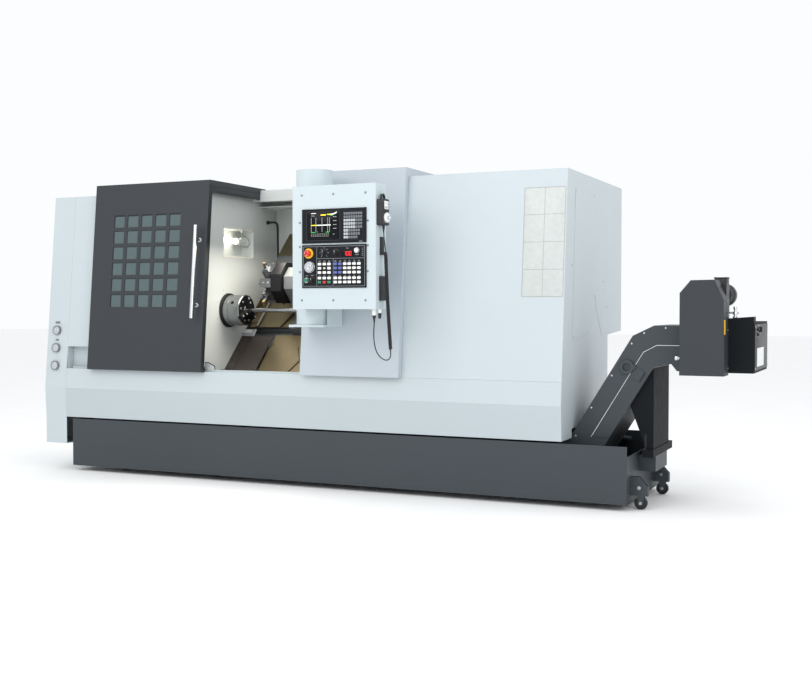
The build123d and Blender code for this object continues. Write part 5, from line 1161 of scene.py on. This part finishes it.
def pendant_screws():
    """Screws along the front's edges, and the vents and screws of the back."""
    face = upright_face(BOX_Y0)
    mid = (BOX_X0 + BOX_X1) / 2
    spots = [(mid + k, z) for k in (-209, 0, 209) for z in (BOX_Z1 - 54, BOX_Z0 + 52)]
    spots += [(mid + k, BOX_Z0 + rise) for k in (-222, 224) for rise in (506, 365, 218)]
    heads = [screw(face, x, z, 6.5, 0, 0.5) for x, z in spots]
    piece("pendant_screws", "pendant", [(heads, tool_steel)])
    back = rear_face(BOX_Y0 + BOX_DEPTH)
    rows = [screw(back, -x, z, 5, 0) for x in (BOX_X0 + 190, BOX_X1 - 20)
            for z in (BOX_Z0 + 25, BOX_Z1 - 25)]
    vents = [louvre(back, -(BOX_X0 + 380), BOX_Z0 + 120 + 26 * k, 190, 13, 6) for k in range(7)]
    piece("pendant_back_vents", "pendant", [(vents, pendant_paint), (rows, tool_steel)])


GLASS_X = (SCREEN.low[0] + 36.3, SCREEN.low[0] + 245.7)
GLASS_Z = (SCREEN.low[2] + 20.3, SCREEN.high[2] - 20.3)


def screen_picture():
    """Glass in the recess, and a generic readout: columns, a bar, status fields and rows of dashes."""
    (x0, x1), (z0, z1) = GLASS_X, GLASS_Z
    glass = slab(upright_face(PLATE_Y + 2), (x0 + x1) / 2, (z0 + z1) / 2, x1 - x0, z1 - z0, 0, 1, 2, 0.2)
    shown = upright_face(PLATE_Y + 1, SCREEN.low[0], SCREEN.high[2])

    def field(left, right, top, bottom):
        """Lit field, measured from the screen unit's upper left corner."""
        return mark(shown, left, right, -bottom, -top, 0, 0.25)

    grey = [field(u - 1.2, u + 1.2, 50, 133) for u in (61, 92, 132.5, 170, 182)]
    grey += [field(61 + 12 * k, 68 + 12 * k, v, v + 2) for v in (143, 150, 157) for k in range(10)]
    grey += [field(206 + s, 206 + s + w, v, v + 3.4) for v in (46, 68, 91, 113)
             for s, w in ((0, 10), (13, 8))]
    grey += [field(61, 84, 38, 40.5), field(205, 214, 146, 149)]
    white = [field(98, 190, 91.5, 96.5), field(61, 93, 23, 26.5),
             strip(shown, ((190, -33), (206, -31), (222, -26), (230, -20)), 6, 0, 0.25)]
    yellow = [field(61, 98, 91.5, 96.5), field(124, 158, 32, 38.5), field(166, 190, 30, 35)]
    green = [field(61, 88, 133.5, 136.5), field(157, 181, 133.5, 136.5), field(98, 104, 131, 134),
             field(186, 205, 38, 40.5)]
    parts = [([glass], screen_black), (grey, display_grey), (white, display_white),
             (yellow, display_yellow), (green, display_green)]
    piece("screen_picture", "pendant", parts)


def outline_round(face, a, b, w, h, corner, width, low, high):
    """Thin closed line round a field w by h at (a, b)."""
    path = rounded_outline(w, h, corner, 3)[:-1] + (a, b)
    return strip(face, path, width, low, high, closed=True)


def screen_bezel():
    """Rim of the glass, line round the keys and a small bare field."""
    (x0, x1), (z0, z1) = GLASS_X, GLASS_Z
    left, low = SCREEN.low[0], SCREEN.low[2]
    plate = upright_face(PLATE_Y)
    bezel = outline_round(plate, (x0 + x1) / 2, (z0 + z1) / 2, x1 - x0 + 9, z1 - z0 + 9, 3, 3, -0.3, 0.8)
    key_panel = outline_round(plate, left + 335.5, low + 99, 126, 164, 3, 1.2, -0.2, 0.3)
    small = mark(plate, SCREEN.high[0] - 46, SCREEN.high[0] - 24, low + 5, low + 8, 0, 0.3)
    parts = [([bezel, key_panel], black_plastic), ([small], line_print)]
    piece("screen_bezel", "pendant", parts)


def screen_keys():
    """Membrane keys: softly raised caps, light ones in the number block, grey ones round it."""
    face = upright_face(PLATE_Y - 1.2)
    light, grey, signs = [], [], []
    for j in range(8):
        for i in range(8):
            if j < 3 and i > 6 or j == 0 and i > 5:
                continue
            x, z = SCREEN.low[0] + 282 + i * 15.2, SCREEN.low[2] + 31 + j * 19.5
            is_light = i < 5 if j in (3, 4, 5) else j < 3 and i < 2
            (light if is_light else grey).append(slab(face, x, z, 12.4, 14.4, -1, 0.7, 2, 0.6))
            signs.append(mark(face, x - 2.4, x + 2.4, z - 0.8, z + 0.8, 0.6, 0.85))
    parts = [(light, light_key), (grey, grey_key), (signs, black_print)]
    piece("screen_keys", "pendant", parts)


# The operator panel's fittings, measured from its lower left corner
PANEL = Box("operator_panel")
PULSE_DIAL = (51, 121)
FEED_KNOB = (147, 205)
SPEED_KNOB = (225, 203)
MODE_KNOB = (68, 45)
STOP_BUTTON = (45, 201)
START_BUTTON = (30, 45)
KEY_SWITCH = (360, 214)


def panel_face(proud=0.0):
    """The key panel's front, or a face that stands this far in front of it."""
    return upright_face(PLATE_Y - proud, PANEL.low[0], PANEL.low[2])


def panel_print():
    """Frame, dividing lines, key labels and dial marks of the key panel, and the load readout."""
    face = panel_face()
    lines = [outline_round(face, 210, 125, 400, 230, 2, 1.6, 0, 0.35),
             strip(face, ((98, 12), (98, 238)), 1.5, 0, 0.33),
             strip(face, ((98, 170), (408, 170)), 1.5, 0, 0.37),
             strip(face, ((206, 12), (206, 170)), 1.5, 0, 0.31)]
    labels = []
    for u in LEFT_COLS + RIGHT_COLS:
        labels += [mark(face, u - half, u + half, v, v + h, 0, 0.35)
                   for half, v, h in ((7, 150.5, 2.5), (5, 156.5, 2), (6, 69.5, 2))]
    labels += ticks(face, *FEED_KNOB, 18, 23, np.arange(-140, 141, 23.33), 1.4, 0, 0.4)
    labels += ticks(face, *FEED_KNOB, 26, 30, np.arange(-140, 141, 46.66), 3.2, 0, 0.4)
    labels += ticks(face, *SPEED_KNOB, 18, 22, np.arange(-60, 61, 24), 1.4, 0, 0.4)
    labels += ticks(face, *MODE_KNOB, 17, 21, (-45, 0, 45), 1.6, 0, 0.4)
    labels += [mark(face, left, right, v, v + 2.5, 0, 0.4)
               for left, right, v in ((24, 40, 70), (56, 80, 73), (290, 308, 226), (350, 372, 188))]
    labels += [mark(face, 392, 402, v, v + 2, 0, 0.4) for v in range(184, 225, 10)]
    piece("panel_print", "pendant", [(lines, line_print), (labels, line_print)])
    window = slab(face, 299, 197, 74, 34, 0, 1.2, 2, 0.5)
    shown = digits(panel_face(1.2), "100", 277, 186, 22, -0.1, 0.5)
    piece("load_readout", "pendant", [([window], screen_black), (shown, digit_red)])


def key_caps():
    """Crowned caps over the panel's keys: white ones, blue ones, and green and red in the lowest row."""
    face = panel_face(1.5)
    caps = {white_plastic: [], blue_plastic: [], green_plastic: [], red_plastic: []}
    signs, sockets = [], []
    for i, u in enumerate(LEFT_COLS + RIGHT_COLS):
        for v in LOWER_ROWS + UPPER_ROWS:
            finish = white_plastic
            if v == LOWER_ROWS[0] and i < 3:
                finish = red_plastic if i == 1 else green_plastic
            if v in UPPER_ROWS and i in (3, 4):
                finish = blue_plastic
            if i == 1 and v == UPPER_ROWS[1]:
                caps[finish].append(slab(face, u, v, 13, 10, -1.4, 2.6, 2, 1.2, 4))
            else:
                caps[finish].append(slab(face, u, v, 21.6, 14.6, -1.4, 3.2, 3, 1.5, 4))
            if finish is white_plastic:
                signs.append(mark(face, u - 3.2, u + 3.2, v - 0.8, v + 0.8, 3.1, 3.3))
            sockets.append(outline_round(panel_face(), u, v, 24.5, 17.5, 3, 1.4, -0.2, 0.6))
    parts = [(grids, finish) for finish, grids in caps.items()]
    parts += [(signs, line_print), (sockets, black_plastic)]
    piece("key_caps", "pendant", parts)


def panel_collars():
    """Fixed rings round the panel's buttons, dials and knobs."""
    face = panel_face(4.0)
    yellow = ring(face, *STOP_BUTTON, 16, 29.5, -4, 1.6, 1.4, 48)
    piece("stop_button_ring", "pendant", [([yellow], yellow_plastic)])
    collars = [ring(face, *PULSE_DIAL, 30.8, 33.5, -4, 0.15, 0.8, 40),
               ring(face, *KEY_SWITCH, 12.6, 16.5, -4, 0.15, 0.8, 40),
               ring(face, *START_BUTTON, 8.6, 15.5, -4, 0.4, 0.3, 28)]
    piece("panel_collars", "pendant", [(collars, satin_chrome)])
    dark = [ring(face, *at, 13.6, 16, -4, 0.2, 0.6, 28) for at in (MODE_KNOB, FEED_KNOB, SPEED_KNOB)]
    piece("knob_collars", "pendant", [(dark, black_plastic)])


def panel_controls():
    """What rides on the dials, knobs, button and switch: scales, lines, arrows and a keyhole."""
    dial = panel_face(14.3)
    scale = ticks(dial, *PULSE_DIAL, 23.5, 27, np.arange(0, 360, 12), 0.9, -0.1, 0.25)
    scale += ticks(dial, *PULSE_DIAL, 21, 27, np.arange(0, 360, 60), 1.4, -0.1, 0.3)
    grip = turned(panel_face(20.3), *PULSE_DIAL, [(0, 0), (0, 11.4), (0.8, 10.6), (0.3, 7), (0.3, 0)])
    knob = [(-8, 0), (-8, 5.4), (0.6, 5.4), (2.2, 3.6), (2.6, 0)]
    cap = turned(panel_face(26.3), PULSE_DIAL[0] + 18, PULSE_DIAL[1] + 6, knob, 20)
    parts = [(scale, black_print), ([grip, cap], bright_steel)]
    piece("pulse_dial_scale", "pulse_dial", parts)
    for name, (u, v), top in (("feed_override_knob", FEED_KNOB, 22.3),
                              ("speed_override_knob", SPEED_KNOB, 22.3),
                              ("mode_selector", MODE_KNOB, 20.3)):
        line = mark(panel_face(top), u - 0.9, u + 0.9, v + 3, v + 11, -0.1, 0.3)
        piece(name + "_line", name, [([line], white_print)])
    arrows = []
    for k in range(3):
        t = np.radians(np.linspace(120 * k + 10, 120 * k + 70, 9))
        arc = np.stack([np.cos(t), np.sin(t)], -1) * 12 + STOP_BUTTON
        arrows.append(strip(panel_face(32), arc, 1.6, -0.6, 0.35))
    piece("stop_button_arrows", "emergency_stop", [(arrows, white_print)])
    hole = disc(panel_face(12.3), *KEY_SWITCH, 3.2, -0.2, 0.3, 0.1, 16)
    piece("key_switch_face", "key_switch", [([hole], black_plastic)])


HAND_X1 = BOX_X1 + 42
HAND_Y0 = Box("handheld_unit").low[1]
HAND_Z0 = BOX_Z1 - 241
HAND_MIDDLE_Y = HAND_Y0 + 39
HAND_DIAL_Z = HAND_Z0 + 44


def handheld_fittings():
    """Label, band, screws and scale of the handheld unit."""
    side = right_face(HAND_X1)
    label = slab(right_face(HAND_X1 + 2), HAND_MIDDLE_Y, HAND_Z0 + 115, 54, 46, -0.5, 0.6, 3, 0.4)
    printed = right_face(HAND_X1 + 2.5)
    left = HAND_Y0 + 16
    prints = [mark(printed, left, left + 46, HAND_Z0 + k, HAND_Z0 + k + 2, 0, 0.3) for k in (126, 119)]
    prints += [mark(printed, left + 16 * i, left + 11 + 16 * i, HAND_Z0 + 96, HAND_Z0 + 108, 0, 0.3)
               for i in range(3)]
    band = slab(side, HAND_MIDDLE_Y, HAND_Z0 + 83, 62, 9, -0.5, 5, 2, 1.2)
    screws = [screw(side, HAND_Y0 + a, HAND_Z0 + b, 3.2, 0) for a in (10, 68) for b in (16, 134)]
    parts = [([label], white_plastic), (prints, line_print), ([band], black_plastic),
             (screws, ground_steel)]
    piece("handheld_label", "pendant", parts)
    face = right_face(HAND_X1 + 12.3)
    scale = ticks(face, HAND_MIDDLE_Y, HAND_DIAL_Z, 22, 26, np.arange(0, 360, 15), 0.9, -0.1, 0.3)
    hub_profile = [(-0.5, 0), (-0.5, 12), (1.2, 12), (2, 10), (2, 0)]
    hub = turned(face, HAND_MIDDLE_Y, HAND_DIAL_Z, hub_profile, 28)
    parts = [(scale, black_print), ([hub], bright_steel)]
    piece("handheld_dial_scale", "handheld_dial", parts)


def holder_covers():
    """Covers of the handheld unit's holders on the pendant's side, the lower one with slots."""
    wall = right_face(BOX_X1)
    boxes = [slab(wall, -328.5, 1487, 34.6, 103.6, -0.5, 12.8, 2, 1.5, 4),
             slab(right_face(BOX_X1 + 12), -328.5, 1444, 34.6, 17.6, -0.5, 18.8, 2, 1.5, 4),
             slab(wall, -326.5, 1244, 58.6, 141.6, -0.5, 16.8, 3, 2, 4)]
    slots = [mark(right_face(BOX_X1 + 16.8), -350, -303, z, z + 5, -0.2, 1.0)
             for z in (1195, 1208, 1221, 1262, 1275, 1288)]
    piece("holder_covers", "pendant", [(boxes + slots, black_plastic)])


def cord_sockets():
    """Socket and plug of the handheld unit's cord below the pendant, and a capped one beside them."""
    first = low_face(2518, -350, BOX_Z0)
    socket = turned(first, 0, 0, [(-1, 0), (-1, 15), (3, 15), (4, 11.8), (14, 11.8), (15, 12.8),
                                  (27, 12.8), (28, 11.8), (34.6, 11.8), (35, 11), (35, 0)], 24)
    plug = turned(first, 0, 0, [(34, 0), (34, 10), (36, 10.6), (50, 9.6), (52, 8), (52, 0)], 24)
    second = low_face(2548, -338, BOX_Z0)
    base = turned(second, 0, 0, [(-1, 0), (-1, 11), (3, 11), (4, 9), (24, 9), (24, 0)], 22)
    cap = turned(second, 0, 0, [(22, 0), (22, 9.6), (28, 10), (50, 8), (54, 6), (54, 0)], 22)
    parts = [([socket, base], white_plastic), ([plug, cap], black_plastic)]
    piece("cord_sockets", "pendant", parts)


# Rear side
CABINET = Box("electric_cabinet")
CABINET_Y = REAR_Y + 357
BACK_DOOR = Box("cabinet_door")
BACK_DOOR_Y = CABINET_Y + 0.3 + 18


def cabinet_fittings():
    """Vents and latch of the cabinet's door, vents and screws of the plate beside it."""
    face = rear_face(BACK_DOOR_Y)
    left, low = BACK_DOOR.low[0], BACK_DOOR.low[2]
    vents = [louvre(face, -(left + 330), low + 90 + 30 * k, 320, 14, 8) for k in range(9)]
    piece("cabinet_door_vents", "cabinet_door", [(vents, white_paint)])
    latch = rear_face(BACK_DOOR_Y + 12)
    centre = (low + BACK_DOOR.high[2]) / 2
    lever = slab(latch, -(left + 42.5), centre - 8, 22, 96, -0.5, 8, 8, 3, 4)
    lock = disc(latch, -(left + 42.5), centre + 48, 8, -0.5, 3, 0.8, 20)
    piece("cabinet_latch", "cabinet_door", [([lever], black_plastic), ([lock], bright_steel)])
    fixed = rear_face(CABINET_Y + 3)
    left = -(CABINET.low[0] + 60)
    screws = [screw(fixed, left - a, z, 5, 0) for a in (16, 270, 524)
              for z in (1020, 1250, 1480, 1710, 1895)]
    vents = [louvre(fixed, left - 270, 1680 + 28 * k, 300, 13, 7) for k in range(6)]
    parts = [(vents, white_paint), (screws, ground_steel)]
    piece("cabinet_plate_vents", "machine", parts)


REAR_COVER = (-1150, 1180)
LEFT_COVER = (-510, 1120)


def service_covers():
    """Screwed covers on the rear and on the left end, the left one with vents."""
    back = rear_face(REAR_Y)
    x, z = REAR_COVER
    screws = [screw(back, -a, b, 6, 0) for a in range(20, 2300, 240) for b in (400, 1880)]
    screws += [screw(back, x + a, z + b, 6, 3) for a in (-430, -145, 145, 430) for b in (-262, 262)]
    cover = slab(back, x, z, 900, 560, -0.5, 3, 6, 1)
    parts = [([cover], white_paint), (screws, ground_steel)]
    piece("rear_service_cover", "machine", parts)
    end_x = Box("left_end_cover").low[0]
    y, z = LEFT_COVER
    side = left_face(end_x)
    plate = slab(side, y, z, 620, 700, -0.5, 3, 8, 1)
    screws = [screw(side, y + a, z + b, 6, 3) for a in (-295, 0, 295) for b in (-335, 0, 335) if a or b]
    vents = [louvre(left_face(end_x - 2.9), y, 880 + 34 * k, 380, 15, 8) for k in range(8)]
    parts = [([plate] + vents, white_paint), (screws, ground_steel)]
    piece("left_service_cover", "machine", parts)


# Studio
LIGHTS = (      # name, place, point it looks at, size, power, colour
    ("key_light", (-1.5, -5.5, 4.6), (0.2, 0, 0.9), 4.0, 115, (1.0, 0.99, 0.97)),
    ("fill_light", (5.5, -4.5, 3.0), (1.0, 0, 0.9), 4.0, 105, (0.96, 0.98, 1.0)),
    ("top_light", (0.5, 0.5, 5.5), (0.5, 0, 0), 4.5, 60, (1.0, 1.0, 1.0)))
FLOOR_HALF = 40.0


def area_light(name, place, size, power, colour):
    """Square light that looks down."""
    light = bpy.data.lights.new(name, "AREA")
    light.size = size
    light.energy = power
    light.color = colour
    lamp = bpy.data.objects.new(name, light)
    bpy.context.scene.collection.objects.link(lamp)
    lamp.location = place
    return lamp


def studio():
    """Pale floor and sky, three large lights, and the chamber's own light."""
    scene = bpy.context.scene
    scene.view_settings.view_transform = "Standard"
    world = bpy.data.worlds.new("studio")
    world.use_nodes = True
    scene.world = world
    sky = world.node_tree.nodes["Background"]
    sky.inputs["Color"].default_value = (0.97, 0.985, 1.0, 1.0)
    sky.inputs["Strength"].default_value = 1.0
    mesh = bpy.data.meshes.new("floor")
    corners = np.array([(-1, -1, 0), (1, -1, 0), (1, 1, 0), (-1, 1, 0)]) * FLOOR_HALF
    mesh.from_pydata(corners + [0, 0, ORIGIN[2] - 0.001], [], [(0, 1, 2, 3)])
    floor = bpy.data.objects.new("floor", mesh)
    scene.collection.objects.link(floor)
    mesh.materials.append(powder_coat("studio_floor", (0.93, 0.93, 0.93, 1.0), rough=0.8, relief=0.02))
    for name, place, aim, size, power, colour in LIGHTS:
        lamp = area_light(name, place, size, power, colour)
        lamp.rotation_euler = (Vector(aim) - Vector(place)).to_track_quat("-Z", "Y").to_euler()
    area_light("chamber_light", placed((1560, 330, 1560)), 0.5, 8, (1.0, 0.93, 0.8))


CAMERA_FROM_CORNER = (5.386021, -6.165321, 1.133732)
CAMERA_LENS = 49.965
CAMERA_TILT = math.radians(90 - 1.573)
CAMERA_TURN = math.radians(24.636)


def photo_camera():
    """The photograph's camera, solved from the enclosure's edges."""
    camera = bpy.data.cameras.new("camera")
    camera.lens = CAMERA_LENS
    camera.sensor_width = 36.0
    holder = bpy.data.objects.new("camera", camera)
    bpy.context.scene.collection.objects.link(holder)
    holder.location = ORIGIN + CAMERA_FROM_CORNER
    holder.rotation_euler = (CAMERA_TILT, 0, CAMERA_TURN)
    bpy.context.scene.camera = holder


photo_camera()
handheld_cord()
coolant_hose()
lamp_cable()
dress_nodes()
for make in (gauge_dials, window_seals, door_edge, spindle_marks, jaw_screws, cover_wipers, splash_bracket,
             lamp_housing, turret_fittings, slide_fittings, right_fields, conveyor_fittings, chain_oiler,
             control_box_face, motor_fittings, leg_and_casters, pendant_screws, screen_picture,
             screen_bezel, screen_keys, panel_print, key_caps, panel_collars, panel_controls,
             handheld_fittings, holder_covers, cord_sockets, cabinet_fittings, service_covers):
    make()
studio()
